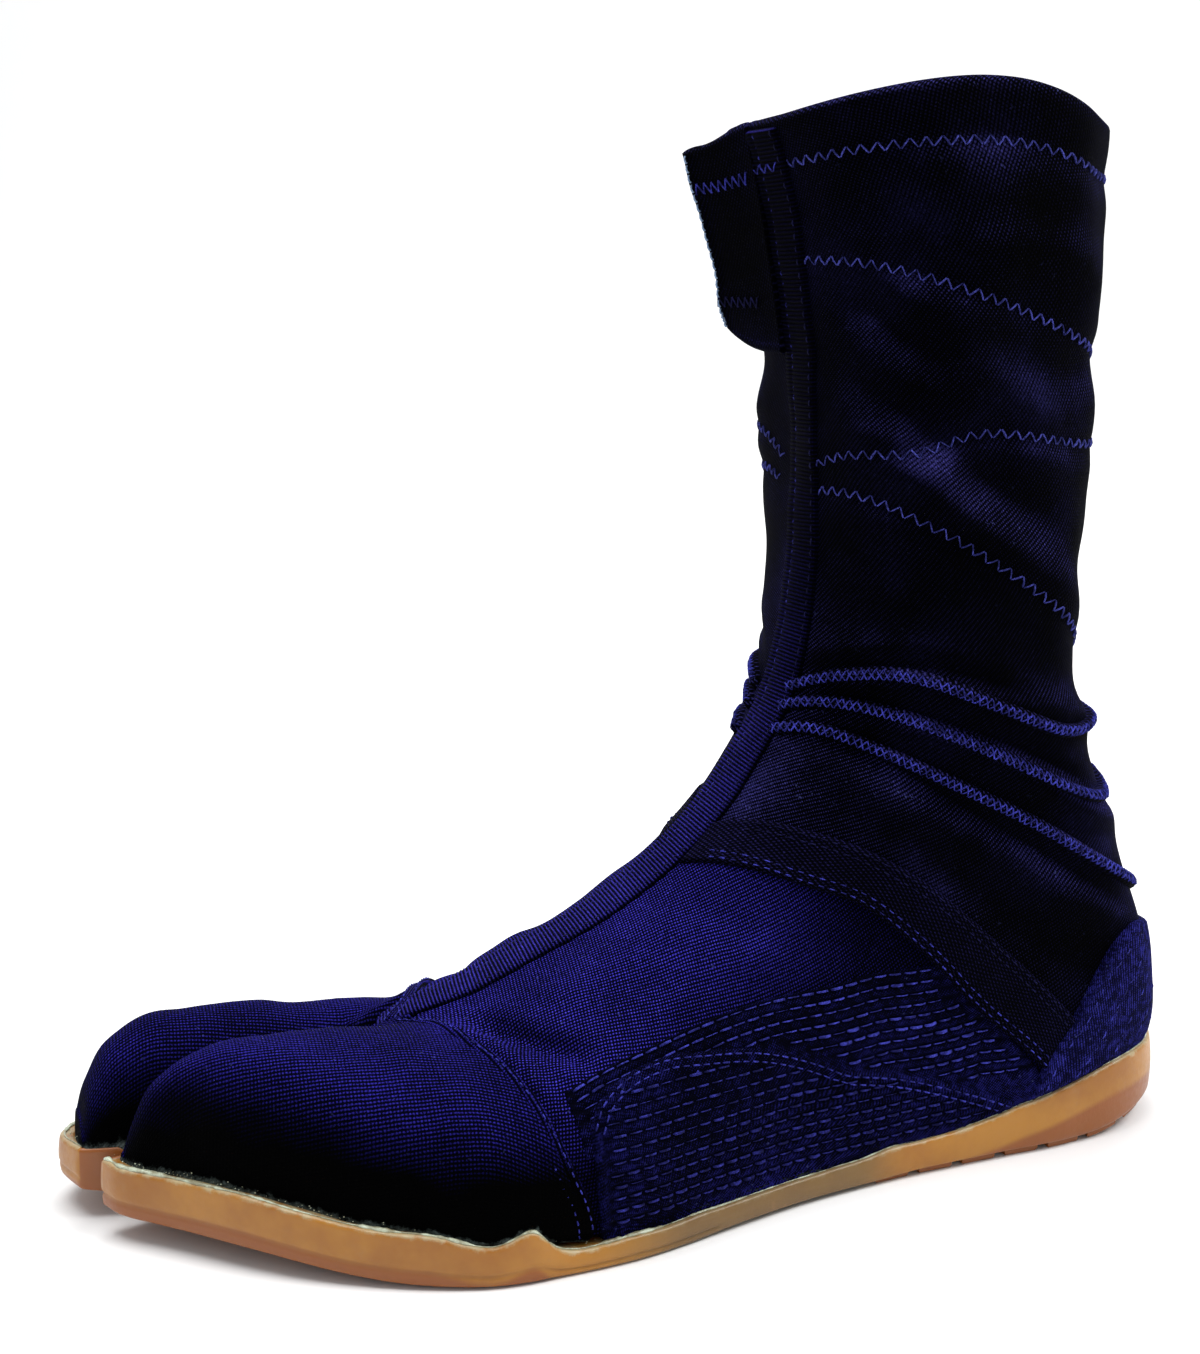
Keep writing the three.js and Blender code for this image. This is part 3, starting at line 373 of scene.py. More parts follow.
CREASES = [
    # depth, width, sides, path
    (-3.2, 3.0, "both", [[1.75, 76], [2.05, 64], [2.3, 55], [2.6, 46], [2.86, 36]]),
    (1.6, 2.4, "out", [[1.45, 80], [1.8, 64], [2.02, 50], [2.2, 36], [2.4, 18]]),
    (-1.1, 5.0, "both", [[3.0, 62], [3.6, 50], [4.2, 40]]),
    (0.9, 4.5, "both", [[2.5, 74], [3.1, 60], [3.7, 46], [4.3, 36]]),
    (-0.8, 5.0, "out", [[4.6, 66], [5.0, 50], [5.3, 36]]),
    (0.7, 6.0, "both", [[4.0, 70], [4.6, 54], [5.0, 40], [5.6, 26]]),
    (1.7, 4.6, "both", [[9.6, 66], [10.9, 44], [12.3, 10], [13.9, -40], [14.0, -86]]),
    (1.6, 4.2, "both", [[9.2, 60], [10.2, 38], [11.3, 0], [12.6, -48], [12.8, -86]]),
    (-1.8, 2.6, "both", [[9.1, 74], [10.2, 55], [11.6, 30], [13.2, -10]]),
    (-1.8, 2.6, "both", [[8.6, 72], [9.6, 52], [10.7, 27], [12.0, -8], [12.9, -45]]),
    (-1.5, 2.6, "both", [[7.9, 72], [8.5, 55], [9.3, 32], [10.2, 0], [11.0, -40]]),
    (2.0, 7.0, "both", [[15.0, 60], [14.9, 20], [15.1, -30], [15.2, -80]]),
    (-1.6, 6.0, "both", [[15.9, 70], [15.6, 40], [15.5, 5], [15.8, -40]]),
    (1.5, 8.0, "out", [[16.4, 40], [16.6, 10], [16.2, -30]]),
    (-1.7, 6.5, "out", [[16.9, 64], [16.6, 36], [16.3, 16]]),
    (1.6, 7.5, "out", [[17.6, 18], [17.9, -12], [17.7, -50]]),
    (-1.4, 7.0, "out", [[18.1, 62], [17.7, 38], [17.3, 24]]),
    (-1.3, 7.0, "out", [[17.0, -20], [17.3, -52], [17.2, -84]]),
    (1.4, 9.0, "in", [[16.8, 150], [17.2, 184], [17.0, 220]]),
    (-1.6, 7.0, "in", [[17.8, 130], [17.3, 166], [17.6, 210]]),
    (-1.4, 6.0, "in", [[16.2, 120], [16.0, 150], [16.3, 190]]),
    (1.3, 6.0, "both", [[7.9, 60], [8.5, 38], [9.2, 10], [9.8, -20]]),
    (-1.0, 7.0, "both", [[8.4, 34], [9.2, -4], [10.0, -38]]),
    (0.9, 9.0, "both", [[9.9, 0], [10.6, -32], [11.0, -70]]),
    (-0.8, 4.0, "both", [[18.62, 70], [18.66, 20], [18.68, -40], [18.66, -88]]),
    (-0.7, 3.0, "both", [[17.3, 76], [17.42, 30], [17.42, -19], [17.4, -80]]),
    (-0.8, 3.2, "both", [[13.8, 75], [15.1, 37], [16.1, 6], [16.8, -72]]),
    (-0.8, 3.2, "both", [[13.3, 75], [14.0, 39], [14.7, -1], [15.0, -64]]),
    (0.8, 5.0, "both", [[18.95, 60], [18.95, 20], [18.95, -40]]),
]
CREASE_LINES = []
for depth, width, sides, path in CREASES:
    for side in ("out", "in"):
        if sides == "both" or sides == side:
            rows = path if (side == "out" or sides == "in") else mirrored(path)
            line = path_on_body(rows, count=22)
            CREASE_LINES.append((depth, width, form_point(BODY, line[:, 0], line[:, 1])))

WAVES = rng.normal(size=(9, 3))
WAVES = WAVES / np.linalg.norm(WAVES, axis=1, keepdims=True)
WAVE_LENGTHS = np.array([62, 51, 44, 37, 31, 26, 22, 18, 15.0])
WAVE_PHASES = rng.uniform(0, 2 * math.pi, 9)


def wobble(points):
    """Slow unevenness of slack cloth, about -1 to 1."""
    phase = points @ (WAVES / WAVE_LENGTHS[:, None]).T * 2 * math.pi + WAVE_PHASES
    return (np.sin(phase) * (WAVE_LENGTHS / WAVE_LENGTHS[0])).sum(-1) / 2.6


def line_distance(points, line):
    """Distance to a line of points and the share of its length there."""
    a, b = line[:-1], line[1:]
    d = b - a
    best = np.full(len(points), 1e9)
    where = np.zeros(len(points))
    for i in range(len(a)):
        rel = points - a[i]
        t = np.clip(rel @ d[i] / (d[i] @ d[i]), 0, 1)
        dist = np.linalg.norm(rel - t[:, None] * d[i], axis=1)
        nearer = dist < best
        best[nearer] = dist[nearer]
        where[nearer] = (i + t[nearer]) / len(a)
    return best, where


def relief(place, turn):
    """How far creases and slack move the cloth out of the form."""
    place, turn = np.broadcast_arrays(np.asarray(place, float), np.asarray(turn, float))
    shape = place.shape
    points = form_point(BODY, place, turn).reshape(-1, 3)
    flat = place.reshape(-1)
    total = wobble(points) * (0.35 + 0.75 * smoothstep(11, 15, flat))
    for depth, width, line in CREASE_LINES:
        low, high = line.min(0) - 2.6 * width, line.max(0) + 2.6 * width
        near = np.flatnonzero(((points > low) & (points < high)).all(1))
        if not len(near):
            continue
        dist, where = line_distance(points[near], line)
        taper = np.minimum(1, 4 * np.minimum(where, 1 - where) + 0.12)
        total[near] += depth * np.exp(-(dist / width) ** 2) * taper
    return total.reshape(shape)


COLLAR_DIP = 3.5
COLLAR_DROP = 3.0
COLLAR_CORNER = 52  # degrees from the back line, on both sides
CORNER_WIDTH = 26


def skin(place, turn, height, sway=None):
    """Points on the cloth, "height" above the creased form. The collar dips beside the closure flap and
    drops at its two rear corners."""
    if sway is None:
        sway = relief(place, turn)
    offset = np.asarray(height, float) + sway
    points = form_point(BODY, place, turn) + form_normal(BODY, place, turn) * offset[..., None]
    facing = (np.asarray(turn, float) + 90) % 360 - 90
    collar = smoothstep(17.6, 19, np.asarray(place, float))
    points[..., 2] -= COLLAR_DIP * smoothstep(92, 110, facing) * smoothstep(190, 140, facing) * collar
    from_corner = from_front(turn) - 180 + COLLAR_CORNER
    points[..., 2] -= COLLAR_DROP * np.exp(-(from_corner / CORNER_WIDTH) ** 2) * collar
    return points


# ---- Meshes
def point_values(mesh, key, values):
    mesh.attributes.new(key, "FLOAT", "POINT").data.foreach_set("value",
                                                                np.asarray(values, np.float32).ravel())


def build(name, points, faces, material, uvs=None, smooth=True, tidy=False, attributes=None):
    """A piece from points in millimetres and faces, riding on the one body."""
    mesh = bpy.data.meshes.new(name)
    mesh.from_pydata((np.asarray(points, float) * MM).tolist(), [], [list(map(int, f)) for f in faces])
    if uvs is not None:
        layer = mesh.uv_layers.new(name="cloth")
        layer.data.foreach_set("uv", np.asarray(uvs, np.float32).ravel())
    for key, values in (attributes or {}).items():
        point_values(mesh, key, values)
    mesh.validate()
    if tidy:
        work = bmesh.new()
        work.from_mesh(mesh)
        bmesh.ops.recalc_face_normals(work, faces=work.faces)
        work.to_mesh(mesh)
        work.free()
    mesh.polygons.foreach_set("use_smooth", [smooth] * len(mesh.polygons))
    mesh.materials.append(material)
    piece = bpy.data.objects.new(name, mesh)
    bpy.context.scene.collection.objects.link(piece)
    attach(piece, "root")
    return piece


def grid_faces(rows, columns, wrap=False, base=0, flip=False):
    r, c = np.meshgrid(np.arange(rows - 1), np.arange(columns if wrap else columns - 1), indexing="ij")
    a = base + r * columns + c
    b = base + r * columns + (c + 1) % columns
    quads = np.stack([a, b, b + columns, a + columns], -1).reshape(-1, 4)
    return quads[:, ::-1] if flip else quads


def tube_faces(rings, sides, base=0):
    """Faces of a tube that is closed by a face at each end."""
    last = base + sides * (rings - 1)
    return (grid_faces(rings, sides, wrap=True, base=base).tolist()
            + [list(range(base + sides - 1, base - 1, -1)), list(range(last, last + sides))])


def tube_uvs(shell):
    """Face corners' places on the cloth, in millimetres, for rings of points that close round."""
    around = np.concatenate([shell, shell[:, :1]], 1)
    v = running(around, 1)
    u, v = np.broadcast_arrays(running(around).mean(1)[:, None], v - v[:, [shell.shape[1] // 2]])
    uv = np.stack([u, v], -1)
    return np.stack([uv[:-1, :-1], uv[:-1, 1:], uv[1:, 1:], uv[1:, :-1]], 2).reshape(-1, 4, 2)


def sheet_uv(grid):
    """Places on the cloth, in millimetres, for a grid of points."""
    return np.stack([running(grid), running(grid, 1)], -1)


def slab(name, top, bottom, uv, material, attributes=None):
    """A closed piece between two grids of points."""
    rows, columns = top.shape[:2]
    count = rows * columns
    faces = [grid_faces(rows, columns), grid_faces(rows, columns, base=count, flip=True)]
    border = ([(0, c) for c in range(columns - 1)] + [(r, columns - 1) for r in range(rows - 1)]
              + [(rows - 1, c) for c in range(columns - 1, 0, -1)] + [(r, 0) for r in range(rows - 1, 0,
                                                                                            -1)])
    ring = np.array([r * columns + c for r, c in border])
    after = np.roll(ring, -1)
    faces.append(np.stack([ring, ring + count, after + count, after], -1))
    faces = np.concatenate(faces)
    flat = np.concatenate([uv.reshape(-1, 2), uv.reshape(-1, 2)])
    points = np.concatenate([top.reshape(-1, 3), bottom.reshape(-1, 3)])
    normal = np.cross(top[0, 1] - top[0, 0], top[1, 0] - top[0, 0])
    if normal @ (top[0, 0] - bottom[0, 0]) < 0:
        faces = faces[:, ::-1]
    doubled = {k: np.concatenate([v.ravel(), v.ravel()]) for k, v in (attributes or {}).items()}
    return build(name, points, faces, material, flat[faces].reshape(-1, 2), attributes=doubled)


def rounded(distance, radius):
    """Share of full height at a distance from an edge with a rolled border."""
    t = np.clip(1 - distance / radius, 0, 1)
    return np.sqrt(np.maximum(0, 1 - t * t))


def border_stops(length, pitch, radius):
    """Running lengths that are close together near both ends."""
    edge = [0, 0.12 * radius, 0.4 * radius, radius]
    inner = np.linspace(radius, length - radius, max(3, int(length / pitch)))[1:-1]
    return np.concatenate([edge, inner, [length - v for v in edge[::-1]]])


def across_path(path, offsets):
    """Places and turns at side distances from a path, a row for each station."""
    place, turn = path[:, 0].copy(), path[:, 1].copy()
    points = form_point(BODY, place, turn)
    along = unit(np.gradient(points, axis=0))
    side = unit(np.cross(form_normal(BODY, place, turn), along))
    grid = np.zeros((len(path), len(offsets), 2))
    for sign in (1, -1):
        p, t, done = place.copy(), turn.copy(), 0.0
        wanted = sorted((abs(o), i) for i, o in enumerate(offsets) if (o >= 0) == (sign > 0))
        for reach, i in wanted:
            while done < reach - 1e-6:
                move = min(1.2, reach - done)
                p, t = step(p, t, side * sign * move)
                done += move
            grid[:, i, 0], grid[:, i, 1] = p, t
    return grid


def strip(name, path, width, thickness, material, radius=1.0, pitch=1.5, crown=0.0, ripple=None,
          narrowing=None):
    """A strip of even width along a path on the upper, which may narrow along its length."""
    stops = border_stops(width, pitch, radius)
    offsets = stops - width / 2
    grid = across_path(path, offsets)
    length = path_length(path)
    if narrowing is not None:
        grid = path[:, None] + (grid - path[:, None]) * narrowing(length)[:, None, None]
    place, turn = grid[..., 0], grid[..., 1]
    ends = np.minimum(length, length[-1] - length)[:, None]
    edge = np.minimum(np.minimum(stops, width - stops)[None, :], ends)
    height = thickness * rounded(edge, radius) + crown * (1 - (2 * offsets / width) ** 2)[None, :]
    if ripple is not None:
        height = height + ripple(length[:, None], offsets[None, :])
    sway = relief(place, turn)
    uv = np.stack(np.broadcast_arrays(length[:, None], offsets[None, :]), -1)
    return slab(name, skin(place, turn, height, sway), skin(place, turn, np.full_like(place, -0.6),
                                                            sway), uv,
                material)


BURIED_DEPTH = 1.6  # stitches whose ends are less than this above the rim and
BURIED_REACH = 9  # less than this inside it would stand out over the rubber


def threads(name, starts, ends, height_mm, radius, material, arch=0.28, sink=0.45, uneven=0.12):
    """Short stitches between places and turns on the upper, joined in one mesh. The thread rises out of
    the cloth and goes back in."""
    starts, ends = np.asarray(starts, float), np.asarray(ends, float)
    count = len(starts)
    shares = np.array([0, 0.14, 0.5, 0.86, 1.0])
    lifts = np.array([-sink, 0.35 * arch, arch, 0.35 * arch, -sink])
    mid = starts[:, None] + (ends - starts)[:, None] * shares[None, :, None]
    place, turn = mid[..., 0], mid[..., 1]
    normal = form_normal(BODY, place, turn)
    jitter = 1 + uneven * rng.normal(size=(count, 1))
    centre = tucked(skin(place, turn, height_mm + lifts * jitter))
    low = np.flatnonzero(centre[:, 2, 2] < NEAR_FLOOR)
    if len(low):
        number, inside = nearest_on_rim(centre[low, 2])
        lowest = centre[low][:, :, 2].min(1)
        buried = low[(lowest < SOLE_RING[number, 2] + BURIED_DEPTH) & (inside < BURIED_REACH)]
        kept = np.setdiff1d(np.arange(count), buried)
        centre, normal, jitter, count = centre[kept], normal[kept], jitter[kept], len(kept)
    along = unit(np.gradient(centre, axis=1))
    side = unit(np.cross(normal, along))
    up = unit(np.cross(along, side))
    sizes = radius * np.array([0.55, 1, 1.1, 1, 0.55])[None, :, None] * jitter[..., None]
    angles = np.radians([45, 135, 225, 315])
    ring = (centre[:, :, None] + side[:, :, None] * (np.cos(angles)[:, None] * sizes[..., None])
            + up[:, :, None] * (np.sin(angles)[:, None] * sizes[..., None]))
    sides = len(angles)
    one = tube_faces(5, sides)
    faces = [[v + 5 * sides * k for v in f] for k in range(count) for f in one]
    return build(name, ring.reshape(-1, 3), faces, material)


def dashes(path, length, gap, start=0.0, side=0.0):
    """Ends of running stitches along a path of places and turns."""
    if side:
        path = across_path(path, [side])[:, 0]
    lengths = path_length(path)
    heads = np.arange(start, lengths[-1] - length, length + gap)
    if not len(heads):
        return np.zeros((0, 2)), np.zeros((0, 2))
    heads = heads + rng.uniform(-0.12, 0.12, len(heads)) * gap
    return resample(path, lengths, stops=heads), resample(path, lengths, stops=heads + length)


def zigzag(path, pitch, width):
    """Ends of the legs of a zigzag stitch along a path."""
    lengths = path_length(path)
    stops = np.arange(0, lengths[-1], pitch / 2)
    stops = stops + rng.uniform(-0.06, 0.06, len(stops)) * pitch
    line = resample(path, lengths, stops=np.clip(stops, 0, lengths[-1]))
    grid = across_path(line, [-width / 2, width / 2])
    corners = np.where((np.arange(len(line)) % 2 == 0)[:, None], grid[:, 0], grid[:, 1])
    return corners[:-1], corners[1:]


# ---- Materials
def new_material(name, roughness, sheen=0.0, specular=0.3, coat=0.0, sheen_tint=(1, 1, 1, 1)):
    made = bpy.data.materials.new(name)
    made.use_nodes = True
    tree = made.node_tree
    shader = tree.nodes["Principled BSDF"]
    shader.inputs["Roughness"].default_value = roughness
    shader.inputs["Sheen Weight"].default_value = sheen
    shader.inputs["Sheen Roughness"].default_value = 0.45
    shader.inputs["Sheen Tint"].default_value = sheen_tint
    shader.inputs["Specular IOR Level"].default_value = specular
    shader.inputs["Coat Weight"].default_value = coat
    return made, tree, shader


def put(tree, socket, value):
    if isinstance(value, bpy.types.NodeSocket):
        tree.links.new(value, socket)
    else:
        socket.default_value = value


def calc(tree, operation, a, b=0.0, c=0.0):
    node = tree.nodes.new("ShaderNodeMath")
    node.operation = operation
    for socket, value in zip(node.inputs, (a, b, c)):
        put(tree, socket, value)
    return node.outputs[0]


def blend_colours(tree, share, a, b, mode="MIX"):
    node = tree.nodes.new("ShaderNodeMix")
    node.data_type = "RGBA"
    node.blend_type = mode
    put(tree, node.inputs[0], share)
    put(tree, node.inputs[6], a)
    put(tree, node.inputs[7], b)
    return node.outputs[2]


def cloth_place(tree):
    node = tree.nodes.new("ShaderNodeUVMap")
    node.uv_map = "cloth"
    return node.outputs[0]


def space_place(tree):
    return tree.nodes.new("ShaderNodeTexCoord").outputs["Object"]


def noise(tree, where, scale, detail=2.0, roughness=0.5):
    node = tree.nodes.new("ShaderNodeTexNoise")
    tree.links.new(where, node.inputs["Vector"])
    node.inputs["Scale"].default_value = scale
    node.inputs["Detail"].default_value = detail
    node.inputs["Roughness"].default_value = roughness
    return node.outputs[0]


def between(tree, value, low, high):
    node = tree.nodes.new("ShaderNodeMapRange")
    node.interpolation_type = "SMOOTHSTEP"
    put(tree, node.inputs["Value"], value)
    node.inputs["From Min"].default_value = low
    node.inputs["From Max"].default_value = high
    return node.outputs[0]


def ribs(tree, where, period, degrees, waver=0.0):
    """A row of ribs at a period in millimetres, 0 to 1."""
    node = tree.nodes.new("ShaderNodeVectorMath")
    node.operation = "DOT_PRODUCT"
    tree.links.new(where, node.inputs[0])
    a = math.radians(degrees)
    node.inputs[1].default_value = (2 * math.pi * math.cos(a) / period,
                                    2 * math.pi * math.sin(a) / period, 0)
    phase = node.outputs["Value"]
    if waver:
        drift = noise(tree, where, 0.12, 3.0)
        phase = calc(tree, "MULTIPLY_ADD", drift, waver * 2 * math.pi, phase)
    wave = calc(tree, "SINE", phase)
    return calc(tree, "MULTIPLY_ADD", wave, 0.5, 0.5)


def own_value(tree, name):
    node = tree.nodes.new("ShaderNodeAttribute")
    node.attribute_name = name
    return node.outputs["Fac"]


def bump(tree, shader, height, depth):
    node = tree.nodes.new("ShaderNodeBump")
    node.inputs["Strength"].default_value = 1.0
    node.inputs["Distance"].default_value = depth * MM
    tree.links.new(height, node.inputs["Height"])
    tree.links.new(node.outputs[0], shader.inputs["Normal"])


def colour(r, g, b):
    return (r, g, b, 1.0)


def woven(name, dark, light, rib_mm, rib_degrees, yarn_mm, yarn_degrees, depth=0.16, yarn_share=0.4,
          sheen=0.004, roughness=0.85, pale_specks=0.5, blotches_and_sheen=0.35, specular=0.015, waver=0.5, shade=1.0, fuzz=0.0,
          troughs=False, shade_range=(-0.05, 0.95), glint=0.0, mottle=0.0):
    """Cloth of ribs crossed by finer yarns. The shade setting is painted shade: how dark its colour is made where
    it doesn't face up. fuzz is how much glue and fluff clings to it above the rubber rim, troughs paints shade into
    its quilted lines, glint sets the painted highlights on single yarns, and mottle is the matted patches of felt."""
    made, tree, shader = new_material(name, roughness, sheen, specular, sheen_tint=colour(0.35, 0.4, 0.95))
    cloth, space = cloth_place(tree), space_place(tree)
    rib = ribs(tree, cloth, rib_mm, rib_degrees, waver)
    yarn = ribs(tree, cloth, yarn_mm, yarn_degrees, waver)
    fluff = noise(tree, space, 2600, 2.0, 0.7)
    weave = calc(tree, "MULTIPLY", rib, calc(tree, "MULTIPLY_ADD", yarn, yarn_share, 1 - yarn_share))
    height = calc(tree, "MULTIPLY_ADD", fluff, 0.45, weave)
    # Cloudy blotches a few centimetres wide: uneven tone of the cloth, and where the setting is strong, as on the
    # shaft, painted sheen patches.
    cloudy = noise(tree, space, 32, 4.0, 0.6)
    tone = calc(tree, "MULTIPLY_ADD", calc(tree, "SUBTRACT", cloudy, 0.5), 2 * blotches_and_sheen, weave)
    tone = calc(tree, "MULTIPLY_ADD", calc(tree, "SUBTRACT", fluff, 0.5), 1.7, tone)
    if mottle:
        matted = between(tree, noise(tree, space, 480, 4.0, 0.75), 0.35, 0.65)
        tone = calc(tree, "MULTIPLY_ADD", calc(tree, "SUBTRACT", matted, 0.5), 2 * mottle, tone)
    base = blend_colours(tree, between(tree, tone, 0.22, 1.15), dark, light)
    # Painted glints: pale blue specks on the crests of the weave, brighter than the cloth's own light colour.
    if glint:
        bright = tuple(min(2.1 * c, 0.8) for c in light[:3])
        sparks = between(tree, noise(tree, space, 1150, 1.0, 0.5), 0.52, 0.70)
        sparks = calc(tree, "MULTIPLY", sparks, between(tree, tone, 0.5, 1.2))
        base = blend_colours(tree, calc(tree, "MULTIPLY", sparks, glint), base, colour(*bright))
    # Scattered pale blue specks on the cloth.
    specks = between(tree, noise(tree, space, 900, 1.0, 0.4), 0.74, 0.80)
    base = blend_colours(tree, calc(tree, "MULTIPLY", specks, 0.3 * pale_specks), base, colour(0.10, 0.12, 0.36))
    # Painted shade: the colour is darkened where the cloth faces sideways or down, as far as shade times its own
    # colour.
    if shade < 1:
        facing = between(tree, own_value(tree, "upward"), *shade_range)
        grey = tree.nodes.new("ShaderNodeCombineColor")
        share = calc(tree, "MULTIPLY_ADD", facing, 1 - shade, shade)
        for socket in grey.inputs[:3]:
            tree.links.new(share, socket)
        base = blend_colours(tree, 1.0, base, grey.outputs[0], "MULTIPLY")
    # Painted shade in the quilted troughs: the colour goes nearly black where the trough attribute is deep.
    if troughs:
        base = blend_colours(tree, calc(tree, "MULTIPLY", own_value(tree, "trough"), 0.94), base,
                             colour(0.0005, 0.0005, 0.003))
    if fuzz:
        ragged = calc(tree, "MULTIPLY_ADD", noise(tree, space, 420, 4.0, 0.75), 4.4, -2.2)
        near = calc(tree, "ADD", own_value(tree, "above_rim"), ragged)
        film = calc(tree, "SUBTRACT", 1.0, between(tree, near, -1.0, 1.2))
        base = blend_colours(tree, calc(tree, "MULTIPLY", film, 0.8 * fuzz), base,
                             colour(0.13, 0.165, 0.16))
    tree.links.new(base, shader.inputs["Base Color"])
    bump(tree, shader, height, depth)
    return made


VAMP_TWILL = woven("vamp_twill", colour(0.0005, 0.0005, 0.005), colour(0.048, 0.038, 0.500), 0.84, 78,
                   0.80, -12,
                   yarn_share=0.8, shade=0.08, fuzz=0.5, glint=0.55)
TOE_TWILL = woven("toe_twill", colour(0.0004, 0.0004, 0.004), colour(0.023, 0.018, 0.260), 0.96, 84,
                  0.80, -6,
                  yarn_share=0.6, shade=0.0, fuzz=0.9, shade_range=(0.12, 0.92), glint=0.4)
# On the shaft the painted shade is steep: fold slopes that face up get a painted highlight and the rest stays nearly
# black.
SHAFT_TWILL = woven("shaft_twill", colour(0.0002, 0.0002, 0.0008), colour(0.024, 0.022, 0.118), 0.85, 62,
                    0.85,
                    -28, yarn_share=0.75, blotches_and_sheen=1.1, pale_specks=0.8, shade=0.11, shade_range=(-0.06,
                                                                                       0.40), glint=1.0)
LINING = woven("lining", colour(0.003, 0.003, 0.012), colour(0.015, 0.016, 0.055), 0.9, 0, 0.9, 90,
               depth=0.1,
               yarn_share=0.5)
TAPE_RIBS = woven("tape_ribs", colour(0.0003, 0.0003, 0.0020), colour(0.042, 0.034, 0.360), 0.92, 0, 0.5,
                  90,
                  depth=0.35, yarn_share=0.35, roughness=0.75, waver=0.1, shade=0.03, glint=0.6)
BAND_WEAVE = woven("band_weave", colour(0.0004, 0.0004, 0.0020), colour(0.014, 0.012, 0.075), 0.85, 63,
                   0.85, 117,
                   depth=0.2, yarn_share=0.7, roughness=0.75, waver=0.1, pale_specks=0.4, shade=0.4, glint=1.0)
QUILT_CLOTH = woven("quilt_cloth", colour(0.0004, 0.0004, 0.0030), colour(0.009, 0.009, 0.092), 0.62, 40,
                    0.62, 130,
                    depth=0.14, yarn_share=0.6, pale_specks=0.8, blotches_and_sheen=1.0, troughs=True, glint=0.5, mottle=0.35)
COUNTER_FELT = woven("counter_felt", colour(0.0020, 0.0020, 0.015), colour(0.020, 0.020, 0.185), 0.9, 30,
                     0.7, 120,
                     depth=0.25, yarn_share=0.4, sheen=0.01, roughness=0.95, pale_specks=1.0, blotches_and_sheen=0.6, glint=0.4,
                     mottle=0.42)


def thread_material(name, dark, light):
    made, tree, shader = new_material(name, 0.65, 0.01, 0.06, sheen_tint=colour(0.4, 0.45, 1.0))
    space = space_place(tree)
    fibre = noise(tree, space, 3200, 2.0, 0.6)
    # Painted glints on the stitches: patches a few millimetres long where the thread turns from dark to its pale light
    # colour.
    glint_patches = between(tree, noise(tree, space, 420, 3.0, 0.7), 0.36, 0.66)
    tone = calc(tree, "MULTIPLY", between(tree, fibre, 0.2, 0.7),
                calc(tree, "MULTIPLY_ADD", glint_patches, 0.9, 0.1))
    tree.links.new(blend_colours(tree, tone, dark, light), shader.inputs["Base Color"])
    bump(tree, shader, fibre, 0.12)
    return made


BLUE_THREAD = thread_material("blue_thread", colour(0.006, 0.007, 0.050), colour(0.075, 0.083, 0.430))
ROYAL_THREAD = thread_material("royal_thread", colour(0.004, 0.004, 0.040), colour(0.060, 0.066, 0.520))
DIM_THREAD = thread_material("dim_thread", colour(0.002, 0.002, 0.020), colour(0.033, 0.036, 0.300))
NAVY_THREAD = thread_material("navy_thread", colour(0.002, 0.002, 0.014), colour(0.010, 0.010, 0.065))
PALE_THREAD = thread_material("pale_thread", colour(0.16, 0.24, 0.40), colour(0.34, 0.45, 0.62))


def rubber_material():
    made, tree, shader = new_material("gum_rubber", 0.42, 0.0, 0.45, coat=0.12)
    space = space_place(tree)
    cloudy = noise(tree, space, 45, 4.0, 0.6)
    fine = noise(tree, space, 700, 3.0, 0.6)
    base = blend_colours(tree, between(tree, cloudy, 0.3, 0.7), colour(0.29, 0.104, 0.006),
                         colour(0.40, 0.170, 0.014))
    base = blend_colours(tree, calc(tree, "MULTIPLY", own_value(tree, "waist"), 0.75), base,
                         colour(0.105, 0.072, 0.026))
    streak = between(tree, noise(tree, space, 160, 5.0, 0.7), 0.58, 0.75)
    base = blend_colours(tree, calc(tree, "MULTIPLY", streak, 0.35), base, colour(0.30, 0.14, 0.045))
    below = own_value(tree, "below_rim")
    base = blend_colours(tree, between(tree, below, 7.0, 9.0), base, colour(0.25, 0.070, 0.005))
    edge = calc(tree, "MULTIPLY_ADD", noise(tree, space, 260, 4.0, 0.7), 3.0, -1.5)
    depth_mm = calc(tree, "ADD", below, edge)
    glue = calc(tree, "SUBTRACT", 1.0, between(tree, depth_mm, -0.3, 0.9))
    thin = calc(tree, "MULTIPLY_ADD", own_value(tree, "waist"), -0.4, 0.55)
    base = blend_colours(tree, calc(tree, "MULTIPLY", glue, thin), base, colour(0.50, 0.50, 0.33))
    tree.links.new(base, shader.inputs["Base Color"])
    rough = calc(tree, "MULTIPLY_ADD", fine, 0.35, 0.25)
    tree.links.new(rough, shader.inputs["Roughness"])
    height = calc(tree, "MULTIPLY_ADD", fine, 0.35, calc(tree, "MULTIPLY", glue, 0.5))
    bump(tree, shader, height, 0.25)
    shader.inputs["Subsurface Weight"].default_value = 0.18
    shader.inputs["Subsurface Radius"].default_value = (0.006, 0.003, 0.001)
    shader.inputs["Subsurface Scale"].default_value = 0.5
    return made


RUBBER = rubber_material()


def glue_material():
    made, tree, shader = new_material("dried_glue", 0.35, 0.0, 0.5, coat=0.3)
    space = space_place(tree)
    patchy = noise(tree, space, 300, 4.0, 0.7)
    base = blend_colours(tree, between(tree, patchy, 0.35, 0.65), colour(0.24, 0.22, 0.13),
                         colour(0.52, 0.58, 0.44))
    tree.links.new(base, shader.inputs["Base Color"])
    bump(tree, shader, noise(tree, space, 900, 3.0, 0.6), 0.3)
    return made


GLUE = glue_material()


